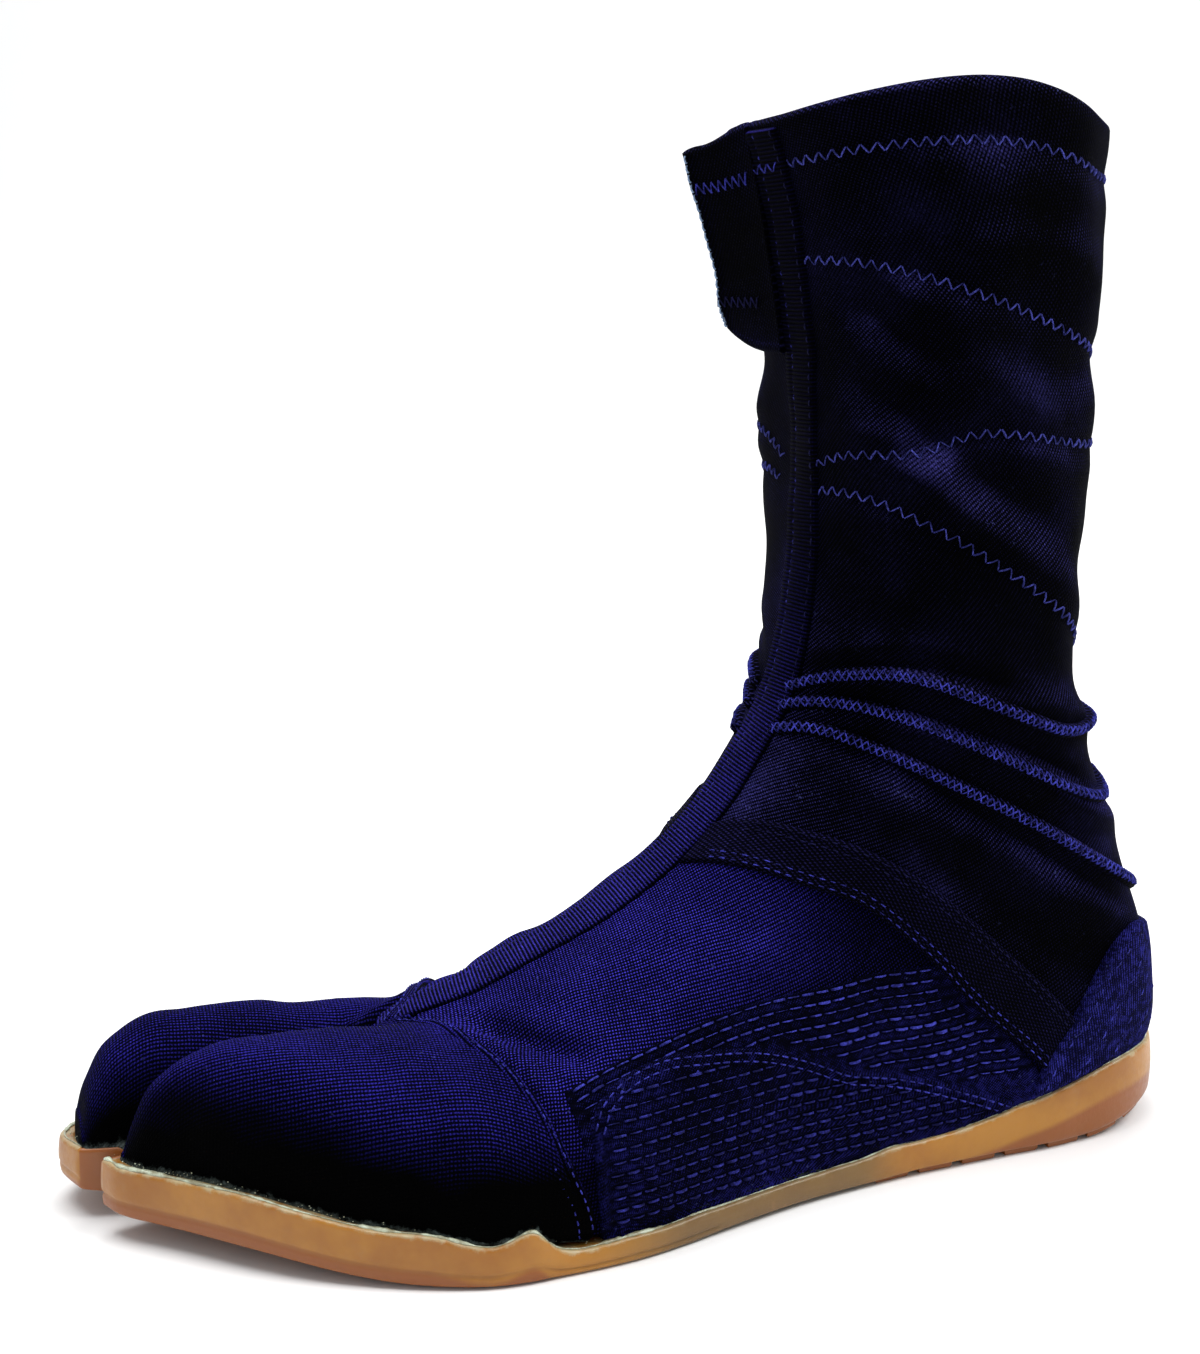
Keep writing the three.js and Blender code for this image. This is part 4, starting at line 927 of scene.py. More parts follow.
def board_material():
    made, tree, shader = new_material("insole_cloth", 0.9, 0.2, 0.2)
    cloth, space = cloth_place(tree), space_place(tree)
    weave = calc(tree, "MULTIPLY", ribs(tree, cloth, 0.9, 45, 0.3), ribs(tree, cloth, 0.9, 135, 0.3))
    stain = noise(tree, space, 40, 4.0, 0.6)
    base = blend_colours(tree, between(tree, weave, 0.1, 0.9), colour(0.20, 0.18, 0.14),
                         colour(0.38, 0.35, 0.27))
    base = blend_colours(tree, calc(tree, "MULTIPLY", stain, 0.4), base, colour(0.13, 0.115, 0.09))
    tree.links.new(base, shader.inputs["Base Color"])
    bump(tree, shader, weave, 0.2)
    return made


BOARD = board_material()


# ---- The sole seen from above
RIM_TUCK = 1.3
HEEL_FLARE = 3.4
WAIST_SHRINK = 0.8
HEEL_MIDDLE = -2.0
RIM_TUCK_START = 2.5
SPLIT_START = 0.757
SPLIT_HALF = TOE_SLIT / 2 - 0.5
SPLIT_NOTCH_END = 0.955
# Where the foxing's end stands up and dips on the outer side: place along the shoe, width, height
FOXING_STEPS = [(-142, 3.2, 0.7), (-152, 8.0, -2.4), (-132, 7.0, -0.3), (-48, 5.0, 0.6)]
TOE_LIP = 0.35
WAIST_LIFT = 1.0
LIP_WIDTH = 2.6


def edge_row(rows, table):
    table = np.array(table, float)
    place, turn = table[:, 0], table[:, 1]
    normal = form_normal(rows, place, turn)
    normal[:, 2] = 0
    point = form_point(rows, place, turn) + unit(normal) * (CLEARANCE + FOXING_WALL)
    return np.stack([point[:, 0], point[:, 1], table[:, 2]], -1)


def turned_over(table):
    return [[p, 180 - t, r] for p, t, r in table]


def tip_point(rows, rim):
    return [rows[0, 4], rows[0, 0] - TIP_BULGE - CLEARANCE - FOXING_WALL, rim]


def sole_outline():
    """The sole's edge seen from above, with the toe slit in it. The third value is the rim height."""
    knots = np.concatenate([
        [tip_point(OUTER_LOBE, OUTER_TOE_EDGE[0][2])],
        edge_row(OUTER_LOBE, OUTER_TOE_EDGE),
        edge_row(BODY, SIDE_EDGE),
        edge_row(BODY, turned_over(SIDE_EDGE)[:-1][::-1]),
        edge_row(INNER_LOBE, turned_over(BIG_TOE_EDGE)),
        [tip_point(INNER_LOBE, BIG_TOE_EDGE[-1][2])],
    ])
    curve = curve_through(knots, closed=True, per=24)
    curve = np.concatenate([curve, curve[:1]])
    curve = resample(curve, running(curve), count=621)[:-1]
    share = share_of(curve[:, 1])
    in_slit = ((share > SPLIT_START) & (curve[:, 0] < slit_side(share, 1) - 0.5)
               & (curve[:, 0] > slit_side(share, -1) + 0.5))
    kept = curve[~in_slit]
    jump = int(np.argmax(np.linalg.norm(np.diff(kept[:, :2], axis=0), axis=1)))
    if np.linalg.norm(kept[jump + 1, :2] - kept[jump, :2]) > 3:
        kept = np.roll(kept, -(jump + 1), axis=0)
    away = unit(kept[:, :2] - np.array([HEEL_MIDDLE, 0.0]))
    kept[:, :2] += away * (HEEL_FLARE * smoothstep(2, 26, kept[:, 1]))[:, None]
    share = share_of(kept[:, 1])
    narrower = WAIST_SHRINK * smoothstep(0.24, 0.34, share) * smoothstep(0.64, 0.54, share)
    kept[:, :2] -= away * narrower[:, None]
    kept[:, 2] = (SOLE_THICKNESS + sole_spring(share) - HEEL_ROLL * smoothstep(0.13, 0.0, share)
                  + kept[:, 2] * FOXING_HEIGHT)
    kept[:, 2] += 0.25 * wobble(np.column_stack([kept[:, :2], np.zeros(len(kept))]) * 1.5)
    on_outer = kept[:, 0] > 15
    for along, width, height in FOXING_STEPS:
        kept[:, 2] += height * np.exp(-((kept[:, 1] - along) / width) ** 2) * on_outer

    def wall(sign, front, rim):
        stops = np.linspace(share_of(front) - 0.0015, SPLIT_START + 0.004, 60)
        x = slit_side(stops, sign) - sign * 0.5
        low = SOLE_THICKNESS + CLEARANCE + sole_spring(stops)
        up = smoothstep(SPLIT_NOTCH_END - 0.018, SPLIT_NOTCH_END + 0.004, stops)
        return np.stack([x, lengthwise(stops), low + (rim - low) * up], -1)

    inner_wall = wall(-1, kept[-1, 1], kept[-1, 2])
    outer_wall = wall(1, kept[0, 1], kept[0, 2])[::-1]
    crotch = []
    for angle in np.radians([30, 60, 90, 120, 150]):
        crotch.append([SLIT_PLACE * BALL_WIDTH - SPLIT_HALF * math.cos(angle),
                       lengthwise(SPLIT_START + 0.004) + SPLIT_HALF * math.sin(angle), inner_wall[-1, 2]])
    ring = np.concatenate([kept, inner_wall, crotch, outer_wall])
    return ring, len(kept)


SOLE_RING, SOLE_OUTER_COUNT = sole_outline()


def ring_inward(ring):
    ahead, behind = np.roll(ring[:, :2], -1, 0), np.roll(ring[:, :2], 1, 0)
    d = unit(ahead - behind)
    inward = np.stack([-d[:, 1], d[:, 0]], -1)
    area = 0.5 * (ring[:, 0] * np.roll(ring[:, 1], -1) - ring[:, 1] * np.roll(ring[:, 0], -1)).sum()
    return inward if area > 0 else -inward


SOLE_INWARD = ring_inward(SOLE_RING)


def nearest_on_rim(points):
    """For points in plan: the nearest point of the rim's number, and how far inside the rim they are."""
    outer = SOLE_RING[:SOLE_OUTER_COUNT]
    number = np.concatenate([((part[:, None, :2] - outer[None, :, :2]) ** 2).sum(-1).argmin(1)
                             for part in np.array_split(points, max(1, len(points) // 4000))])
    inside = ((points[:, :2] - outer[number, :2]) * SOLE_INWARD[number]).sum(-1)
    return number, inside


def tucked(points):
    """Moves the cloth's lower edges inside the rubber rim that stands round them."""
    flat = points.reshape(-1, 3).copy()
    low = np.flatnonzero(flat[:, 2] < NEAR_FLOOR)
    if len(low):
        number, inside = nearest_on_rim(flat[low])
        rim = SOLE_RING[number, 2]
        share = smoothstep(RIM_TUCK_START, -0.6, flat[low, 2] - rim)
        push = np.clip(RIM_TUCK - inside, 0, 8) * share
        # Along the waist the cloth hangs down onto the rim's outer edge.
        over = flat[low, 2] - rim
        reach = share_of(flat[low, 1])
        window = (smoothstep(0.16, 0.26, reach) * smoothstep(0.66, 0.60, reach) * smoothstep(13, 4, over)
                  * smoothstep(-2.5, -1.0, over) * (inside < 12))
        push -= np.clip(inside - 1.5 - 0.22 * np.maximum(0, over), 0, 5) * window
        flat[low, :2] += SOLE_INWARD[number] * push[:, None]
    return flat.reshape(points.shape)


# ---- The upper's body: shaft, instep and waist, open at the collar
BODY_ROWS = 236
BODY_COLUMNS = 184
INNER_ROWS = 74
HEM_WALL = 2.6


def even_places(count):
    fine = np.linspace(0, LAST, 600)
    total = sum(running(form_point(BODY, fine, turn)) for turn in (90.0, 0.0, 180.0, 270.0))
    return np.interp(np.linspace(0, total[-1], count), total, fine)


def under_caps(place, turn):
    """How far the body lies inside its form where the toe caps cover it."""
    return 1.9 * smoothstep(0.02, 0.22, seam_place(turn) - place)


def make_body():
    outer = even_places(BODY_ROWS)
    turns = 270 + np.linspace(0, 360, BODY_COLUMNS, endpoint=False)
    place, turn = np.meshgrid(outer, turns, indexing="ij")
    sway = relief(place, turn)
    top = skin(place, turn, -under_caps(place, turn), sway)
    lip = []
    for angle in np.radians([30, 60, 90, 120, 150]):
        ring = skin(place[-1:], turn[-1:], HEM_WALL / 2 * (math.cos(angle) - 1), sway[-1:])
        ring[..., 2] += HEM_WALL / 2 * math.sin(angle)
        lip.append(ring)
    inner = even_places(INNER_ROWS)[::-1]
    place_in, turn_in = np.meshgrid(inner, turns, indexing="ij")
    sway_in = np.stack([np.interp(inner, outer, column) for column in sway.T], -1)
    wall = UPPER_WALL + (HEM_WALL - UPPER_WALL) * smoothstep(18.2, 18.6, place_in)
    inside = skin(place_in, turn_in, -wall - under_caps(place_in, turn_in), sway_in)
    everything = tucked(np.concatenate([top] + lip + [inside]))
    rows = len(everything)
    points = everything.reshape(-1, 3)
    faces = grid_faces(rows, BODY_COLUMNS, wrap=True).tolist()
    uvs = tube_uvs(everything).reshape(-1, 2)
    count = len(points)
    front, back = everything[0].mean(0), everything[-1].mean(0)
    points = np.concatenate([points, [front], [back]])
    last = (rows - 1) * BODY_COLUMNS
    extra = []
    for c in range(BODY_COLUMNS):
        d = (c + 1) % BODY_COLUMNS
        extra += [[count, d, c], [count + 1, last + c, last + d]]
    uvs = np.concatenate([uvs, np.zeros((3 * len(extra), 2))])
    piece = build("upper_body", points, faces + extra, SHAFT_TWILL, uvs, tidy=True)
    mesh = piece.data
    mesh.materials.append(VAMP_TWILL)
    mesh.materials.append(LINING)
    # The lower front is cut from the brighter twill, up to the instep bands.
    number = np.zeros(len(mesh.polygons), np.int32)
    rows_of = np.arange((rows - 1) * BODY_COLUMNS) // BODY_COLUMNS
    columns_of = np.arange((rows - 1) * BODY_COLUMNS) % BODY_COLUMNS
    inside_rows = rows_of >= BODY_ROWS + 3
    face_place = outer[np.minimum(rows_of, BODY_ROWS - 1)]
    face_turn = turns[columns_of]
    bright = face_place < band_place(face_turn)
    number[:len(rows_of)] = np.where(inside_rows, 2, np.where(bright, 1, 0))
    number[len(rows_of):] = 1
    mesh.polygons.foreach_set("material_index", number)
    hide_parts("upper")
    return piece


def band_place(turn):
    """The place where the instep band's middle lies at a turn."""
    folded = np.abs((np.asarray(turn, float) - 90 + 180) % 360 - 180)
    middle = [((a[0] + b[0]) / 2, 90 - (a[1] + b[1]) / 2) for a, b in zip(BAND_LOW, BAND_HIGH)]
    return np.interp(folded, [0] + [t for p, t in middle], [5.0] + [p for p, t in middle])


make_body()


# ---- The toe caps
def nearest_on_body(points):
    """The place, turn, signed distance and normal of the body's nearest point."""
    places = np.linspace(0, 6, 121)
    turns = np.linspace(-90, 270, 241)[:-1]
    p, t = np.meshgrid(places, turns, indexing="ij")
    cloud = form_point(BODY, p, t).reshape(-1, 3)
    tree = KDTree(len(cloud))
    for i, point in enumerate(cloud):
        tree.insert(point, i)
    tree.balance()
    found = np.array([tree.find(point)[1] for point in points])
    place, turn = p.reshape(-1)[found], t.reshape(-1)[found]
    for _ in range(4):
        place, turn = step(place, turn, np.clip(points - form_point(BODY, place, turn), -2, 2))
    normal = form_normal(BODY, place, turn)
    return place, turn, ((points - form_point(BODY, place, turn)) * normal).sum(-1), normal


def make_cap(name, rows, row_count, column_count):
    stops = np.linspace(0, 1, row_count)
    fine = np.linspace(0, len(rows) - 1, 300)
    side_turn = 0.0 if rows is OUTER_LOBE else 180.0
    length = running(form_point(rows, fine, 90.0)) + running(form_point(rows, fine, side_turn))
    place = np.interp(stops * length[-1], length, fine)
    turns = 270 + np.linspace(0, 360, column_count, endpoint=False)
    grid_place, grid_turn = np.meshgrid(place, turns, indexing="ij")
    shell = form_point(rows, grid_place, grid_turn)
    # The tip is closed by shrinking rings that bulge forward.
    tip = shell[0]
    centre = tip.mean(0)
    rings = []
    for share in (0.12, 0.3, 0.5, 0.68, 0.83, 0.94):
        ring = centre + (tip - centre) * math.sin(share * math.pi / 2)
        ring[:, 1] -= TIP_BULGE * math.cos(share * math.pi / 2)
        rings.append(ring)
    shell = np.concatenate([np.array(rings), shell])
    total = len(shell)
    points = shell.reshape(-1, 3)
    normal = np.cross(np.gradient(shell, axis=0), np.roll(shell, -1, 1) - np.roll(shell, 1,
                                                                                  1)).reshape(-1, 3)
    normal = unit(normal)
    near_place, near_turn, distance, near_normal = nearest_on_body(points)
    ahead = seam_place(near_turn) - near_place
    facing = smoothstep(0.1, 0.5, (normal * near_normal).sum(-1))
    on_body = near_place > 0.03
    cover = 0.9
    wanted = cover + 0.5 * ((distance - cover) + np.sqrt((distance - cover) ** 2 + 2.2))
    push = np.where(on_body & (distance < 9), (wanted - distance) * facing, 0)
    behind = smoothstep(0.0, -0.18, ahead)
    push = push * (1 - behind) + behind * (-1.6 - distance) * facing * on_body
    puff = 0.45 * wobble(points * 1.4) + 0.25 * wobble(points[:, ::-1] * 2.3)
    points = points + near_normal * push[:, None] + normal * puff[:, None] * smoothstep(-0.1, 0.4,
                                                                                        ahead)[:, None]
    deep = on_body & (((distance < -2.2) & (facing < 0.5)) | (ahead < -0.3) | (distance < -7))
    points = tucked(points)
    quads = grid_faces(total, column_count, wrap=True)
    uvs = tube_uvs(shell)
    keep = ~deep[quads].all(1)
    piece = build(name, points, quads[keep], TOE_TWILL, uvs[keep].reshape(-1, 2))
    work = bmesh.new()
    work.from_mesh(piece.data)
    bmesh.ops.delete(work, geom=[v for v in work.verts if not v.link_faces], context="VERTS")
    tips = [e for e in work.edges if e.is_boundary and max(v.co.y for v in e.verts) < centre[1] * MM]
    if tips:
        bmesh.ops.holes_fill(work, edges=tips)
    bmesh.ops.recalc_face_normals(work, faces=work.faces)
    work.to_mesh(piece.data)
    work.free()
    piece.data.polygons.foreach_set("use_smooth", [True] * len(piece.data.polygons))
    wall = piece.modifiers.new("wall", "SOLIDIFY")
    wall.thickness = 1.4 * MM
    wall.offset = -1
    return piece


make_cap("toe_cap_outer", OUTER_LOBE, 96, 150)
make_cap("toe_cap_big", INNER_LOBE, 90, 120)


# ---- Tape, seams, bands, panels and counter
TAPE_END = [[0.72, 99]]
TAPE_CLOTH_WIDTH = 13.6
TAPE_FOLD = 4.2


def tape_narrowing(length):
    rounded_end = np.sqrt(np.maximum(0.06, 1 - np.maximum(0, 1 - length / 3.5) ** 2))
    return rounded_end * (0.72 + 0.28 * smoothstep(2, 26, length))


def tape_relief(length, offset):
    """Ribs across the tape, cut off by the groove of its stitched fold, and a sunken lower end."""
    ribs_here = 0.16 * np.cos(2 * np.pi * length / 0.92)
    groove = -0.55 * np.exp(-((offset - (TAPE_CLOTH_WIDTH / 2 - TAPE_FOLD)) / 0.45) ** 2)
    return ribs_here + groove - 0.7 * smoothstep(9, 0, length) + 0 * offset


tape_path = path_on_body(TAPE_END + TAPE_PATH, pitch=0.46)
strip_piece = strip("front_tape_cloth", tape_path, TAPE_CLOTH_WIDTH, 1.15, TAPE_RIBS,
                    radius=0.9,
                    crown=0.25, pitch=1.0, ripple=tape_relief, narrowing=tape_narrowing)
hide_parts("front_tape")


def stitch_rows(name, path, rows, length, gap, height, radius, thread, trim=0.0):
    starts, ends = [], []
    for side in rows:
        a, b = dashes(path, length, gap, start=trim, side=side)
        starts.append(a)
        ends.append(b)
    return threads(name, np.concatenate(starts), np.concatenate(ends), height, radius, thread)


stitch_rows("tape_stitches", tape_path[::2], [TAPE_CLOTH_WIDTH / 2 - TAPE_FOLD], 1.5, 0.9, 0.85, 0.17,
            ROYAL_THREAD,
            trim=14)
stitch_rows("tape_edge_stitches", tape_path[::2], [-TAPE_CLOTH_WIDTH / 2 + 1.3], 1.7, 1.2, 1.1, 0.15,
            NAVY_THREAD,
            trim=20)

SIDES = (("lateral", lambda rows: rows), ("medial", mirrored))
for side, turned in SIDES:
    seam = path_on_body(turned(TOE_SEAM), pitch=0.9)
    piece = strip(f"toe_seam_cloth_{side}", seam, 5.2, 1.25, TOE_TWILL, radius=1.2, pitch=0.9)
    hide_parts(f"toe_seam_{side}")
    stitch_rows(f"toe_seam_stitches_{side}", seam, [-1.5, 1.5], 1.3, 0.9, 1.15, 0.2, ROYAL_THREAD)


def gap_between(a, b):
    """The distance between two paths on the body, point by point."""
    return np.linalg.norm(form_point(BODY, a[:, 0], a[:, 1]) - form_point(BODY, b[:, 0], b[:, 1]), axis=1)


def overlay(name, edge_a, edge_b, thickness, material, along_pitch=1.2, across_pitch=1.2, radius=0.9,
            quilt=None):
    """A panel between two edges. The quilt gives extra height from places and turns."""
    a, b = path_on_body(edge_a, count=60), path_on_body(edge_b, count=60)
    width = gap_between(a, b).max()
    length = path_length(a)[-1]
    along, across = border_stops(length, along_pitch, radius), border_stops(width, across_pitch, radius)
    a = resample(a, np.linspace(0, length, 60), stops=along)
    b = resample(b, np.linspace(0, length, 60), stops=along)
    grid = a[:, None] + (b - a)[:, None] * (across / width)[None, :, None]
    place, turn = grid[..., 0], grid[..., 1]
    narrowed = np.minimum(1, gap_between(a, b) / width + 0.15)
    from_side = np.minimum(across, width - across)[None, :] * narrowed[:, None]
    edge = np.minimum(from_side, np.minimum(along, length - along)[:, None])
    height = thickness * rounded(edge, radius)
    if quilt is not None:
        height = height + quilt(place, turn) * rounded(edge, 2.0)
    sway = relief(place, turn)
    top = tucked(skin(place, turn, height, sway))
    bottom = tucked(skin(place, turn, np.full_like(place, -0.7), sway))
    # How deep each point lies in a quilted trough, read by the cloth for painted shade there.
    trough = np.zeros(place.shape) if quilt is None else np.clip(-quilt(place, turn) / 0.6, 0, 1)
    return slab(name, top, bottom, sheet_uv(top), material,
                attributes={"trough": trough})


COUNTER_ROW = [[10.4, -32], [9.7, -26], [9.1, -24], [8.48, -26], [8.0, -31], [7.43, -42]]
COUNTER_ROWS = 9
COUNTER_ROW_TURN = 6.2
ROW_PITCH = 2.7
ROW_START = 1.9
LOWER_ROWS = 16
UPPER_ROWS = 12


def lower_rows():
    """Quilting rows at even heights over the sole's rim, cut off under the panel's arched edge."""
    places = np.linspace(2.72, 7.45, 120)
    turns = np.linspace(-40, 30, 141)
    p, t = np.meshgrid(places, turns, indexing="ij")
    up = running(form_point(BODY, p, t), 1)
    top = path_on_body(LOWER_TOP, count=80)
    rows = []
    for k in range(LOWER_ROWS):
        level = ROW_START + k * ROW_PITCH
        turn = np.array([np.interp(level, u, turns) for u in up])
        limit = np.interp(places, top[:, 0], top[:, 1]) - 4.2
        inside = turn < limit
        if inside.sum() > 5:
            rows.append(np.stack([places[inside], turn[inside]], -1))
    return rows


def upper_rows():
    """Quilting rows below the upper panel's edge, which spread towards the band and end at the lower panel."""
    base = path_on_body(UPPER_TOP + [[8.5, 0], [9.6, -9]], count=140)
    reach = np.linspace(0, 36, 37)
    fan = across_path(base, -reach)
    cover = path_on_body(LOWER_TOP, count=80)
    share = np.linspace(0, 1, len(base))
    rows = []
    for k in range(UPPER_ROWS):
        away = 0.9 + ROW_PITCH * k * (0.85 + 0.2 * share)
        line = np.array([[np.interp(d, reach, lane[:, 0]), np.interp(d, reach, lane[:, 1])]
                         for d, lane in zip(away, fan)])
        free = line[:, 1] > np.interp(line[:, 0], cover[:, 0], cover[:, 1]) + 1.6
        free &= line[:, 0] < np.interp(line[:, 1], *np.array(BAND_LOW[::-1], float).T[::-1]) - 0.04
        if free.sum() > 5:
            rows.append(line[free])
    return rows


def quilting(rows, depth=0.65, width=0.9):
    lines = [form_point(BODY, row[:, 0], row[:, 1]) for row in rows]

    def height(place, turn):
        points = form_point(BODY, place, turn).reshape(-1, 3)
        total = np.zeros(len(points))
        for line in lines:
            distance, _ = line_distance(points, line[::3])
            total = np.maximum(total, np.exp(-(distance / width) ** 2))
        return (-depth * total).reshape(place.shape)
    return height


for side, turned in SIDES:
    def flipped(row, side=side):
        return row if side == "lateral" else np.stack([row[:, 0], 180 - row[:, 1]], -1)
    low = [flipped(row) for row in lower_rows()]
    high = [flipped(row) for row in upper_rows()]
    piece = overlay(f"upper_panel_{side}", turned(UPPER_TOP), turned(UPPER_LOW), 0.75, QUILT_CLOTH,
                    along_pitch=1.2, across_pitch=0.55, quilt=quilting(high))
    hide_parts(f"side_panel_upper_{side}")
    piece = overlay(f"lower_panel_{side}", turned(LOWER_TOP), turned(LOWER_LOW), 1.5, QUILT_CLOTH,
                    along_pitch=1.1, across_pitch=0.55, radius=1.1, quilt=quilting(low))
    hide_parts(f"side_panel_lower_{side}")
    for label, rows, height, thread in (("low", low, 1.0, DIM_THREAD), ("high", high, 0.32, ROYAL_THREAD)):
        starts, ends = zip(*[dashes(row, 3.3, 0.5, start=rng.uniform(0.2, 2.0)) for row in rows])
        threads(f"quilt_stitches_{label}_{side}", np.concatenate(starts), np.concatenate(ends), height,
                0.24,
                thread, arch=0.36, uneven=0.3)
    edge = path_on_body(turned(LOWER_TOP), pitch=0.8)
    sign = 1 if side == "lateral" else -1
    stitch_rows(f"arch_stitches_{side}", edge, [-sign * 1.2, -sign * 3.0], 1.7, 0.9, 1.45, 0.22,
                ROYAL_THREAD)
    bands = [turned(BAND_LOW), turned(BAND_HIGH)]
    if side == "medial":
        # The tape lies to the outer side of the middle, so the inner band reaches further to it.
        bands = [[[rows[0][0], 99]] + rows[1:] for rows in bands]
    band_height = 1.25 if side == "lateral" else 0.6
    piece = overlay(f"band_cloth_{side}", bands[0], bands[1], band_height, BAND_WEAVE,
                    along_pitch=1.3, across_pitch=1.3)
    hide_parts(f"instep_band_{side}")
    for label, edge_rows, inward, thread in (("low", BAND_LOW, 1, ROYAL_THREAD),
                                             ("high", BAND_HIGH, -1, NAVY_THREAD)):
        edge = path_on_body(turned(edge_rows), pitch=0.9)
        stitch_rows(f"band_stitches_{label}_{side}", edge, [sign * inward * 1.1, sign * inward * 2.8],
                    1.5, 1.1,
                    band_height - 0.08, 0.17, thread, trim=8)

piece = overlay("counter_cloth", both_sides(COUNTER_TOP), both_sides(COUNTER_LOW), 1.7, COUNTER_FELT,
                along_pitch=1.4, across_pitch=1.2, radius=1.2)
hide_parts("heel_counter")
starts, ends = [], []
for k in range(COUNTER_ROWS):
    for turned in (lambda rows: rows, mirrored):
        rows = [[p, t - COUNTER_ROW_TURN * (k + 0.45)] for p, t in COUNTER_ROW]
        rows = [row for row in rows if row[1] > -89]
        if len(rows) > 2:
            a, b = dashes(path_on_body(turned(rows), pitch=0.9), 2.3, 1.5, start=rng.uniform(0.2, 2.0))
            starts.append(a)
            ends.append(b)
threads("counter_stitches", np.concatenate(starts), np.concatenate(ends), 1.5, 0.16, ROYAL_THREAD,
        uneven=0.2)

# ---- Ankle tucks and zigzag stitching
for i, rows in enumerate(TUCKS):
    path = path_on_body(rows, pitch=0.9)
    piece = strip(f"tuck_cloth_{i + 1}", path, 3.4, 2.0, SHAFT_TWILL, radius=1.7, pitch=0.5)
    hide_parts(f"ankle_tuck_{i + 1}")
    for turn_over, label in ((1, "a"), (-1, "b")):
        a, b = zigzag(path, 3.5, 2.5 * turn_over)
        threads(f"tuck_zigzag_{i + 1}{label}", a, b, 1.72, 0.19, ROYAL_THREAD, arch=0.36, sink=0.75)

ZIGZAGS = [
    [[18.5, 78], [18.6, 9], [18.7, -78]],
    [[17.3, 76], [17.4, 30], [17.4, 8], [17.4, -19], [17.4, -71]],
    [[13.8, 76], [15.1, 37], [16.1, 6], [16.8, -72]],
    [[13.3, 75], [14.0, 39], [14.4, 20], [14.7, -1], [14.9, -26], [15.0, -64]],
]
for i, rows in enumerate(ZIGZAGS):
    end = rows[-1][0]
    loop = rows + [[end, -90]] + [[p, -180 - t] for p, t in rows[::-1]]
    a, b = zigzag(path_on_body(loop, pitch=0.7), 3.6, 2.3)
    threads(f"zigzag_{i + 1}", a, b, 0.0, 0.2, BLUE_THREAD, arch=0.34, sink=0.35)

# ---- The closure flap: the free front edge of the opening on the inner side
FLAP_HEIGHT = 48
FLAP_LIFT = 7
FLAP_THICKNESS = 1.7
FLAP_MARGIN = 3
FLAP_CORNER = 6
FLAP_LOW_LIFT = 0.6
FLAP_TURNS = (93, 125)
FLAP_TOP_RISE = 4.2


def place_at_height(height):
    fine = np.linspace(10, LAST, 900)
    return np.interp(height, form_point(BODY, fine, 90.0)[:, 2], fine)


def make_flap():
    rows, columns = 64, 30
    rise = np.linspace(0, 1, rows)[:, None] * np.ones((1, columns))
    outward = np.ones((rows, 1)) * np.linspace(0, 1, columns)[None, :]
    level = place_at_height(SHAFT_HEIGHT - FLAP_MARGIN - FLAP_HEIGHT * (1 - rise))
    turn = FLAP_TURNS[0] + (FLAP_TURNS[1] - FLAP_TURNS[0]) * outward
    front, root = form_point(BODY, level, 90.0), form_point(BODY, level, turn)
    curl = outward ** 1.2
    lift = FLAP_LIFT * curl * (FLAP_LOW_LIFT + (1 - FLAP_LOW_LIFT) * rise)
    lift = lift + 0.4 * np.sin(rise * 9.5 + 0.6) * outward + 0.15 * np.sin(rise
                                                                           * 21 + outward * 3) * outward
    corner = FLAP_CORNER * smoothstep(0.25, 0, rise) * outward ** 3
    corner = corner + rise ** 4 * (FLAP_TOP_RISE * smoothstep(0.75, 0.0, outward) - 1.6 * outward ** 9)
    middle = np.stack([root[..., 0], front[..., 1] - 0.6 - lift - FLAP_THICKNESS / 2,
                       front[..., 2] + corner], -1)
    normal = unit(np.cross(np.gradient(middle, axis=0), np.gradient(middle, axis=1)))
    if normal[rows // 2, columns // 2, 1] > 0:
        normal = -normal
    edge = np.minimum((1 - outward) * 16, np.minimum(rise, 1 - rise) * FLAP_HEIGHT)
    half = FLAP_THICKNESS / 2 * (0.25 + 0.75 * rounded(edge, 1.0))
    ridge = 0.35 * np.exp(-((edge - 1.2) / 0.8) ** 2)
    top = middle + normal * (half + ridge)[..., None]
    bottom = middle - normal * half[..., None]
    piece = slab("flap_cloth", top, bottom, sheet_uv(middle), SHAFT_TWILL)
    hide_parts("closure_flap")
    return top, normal


def loose_threads(name, lines, radius, thread):
    """Short tubes through given points in space, joined in one mesh."""
    points, faces = [], []
    for line in lines:
        along = unit(np.gradient(line, axis=0))
        side = unit(np.cross(along, [0.3, 0.5, 0.81]))
        up = np.cross(side, along)
        angles = np.radians([0, 72, 144, 216, 288])
        ring = (line[:, None] + side[:, None] * (np.cos(angles) * radius)[None, :, None]
                + up[:, None] * (np.sin(angles) * radius)[None, :, None])
        base = sum(len(p) for p in points)
        points.append(ring.reshape(-1, 3))
        faces += tube_faces(len(line), 5, base)
    return build(name, np.concatenate(points), faces, thread, tidy=True)


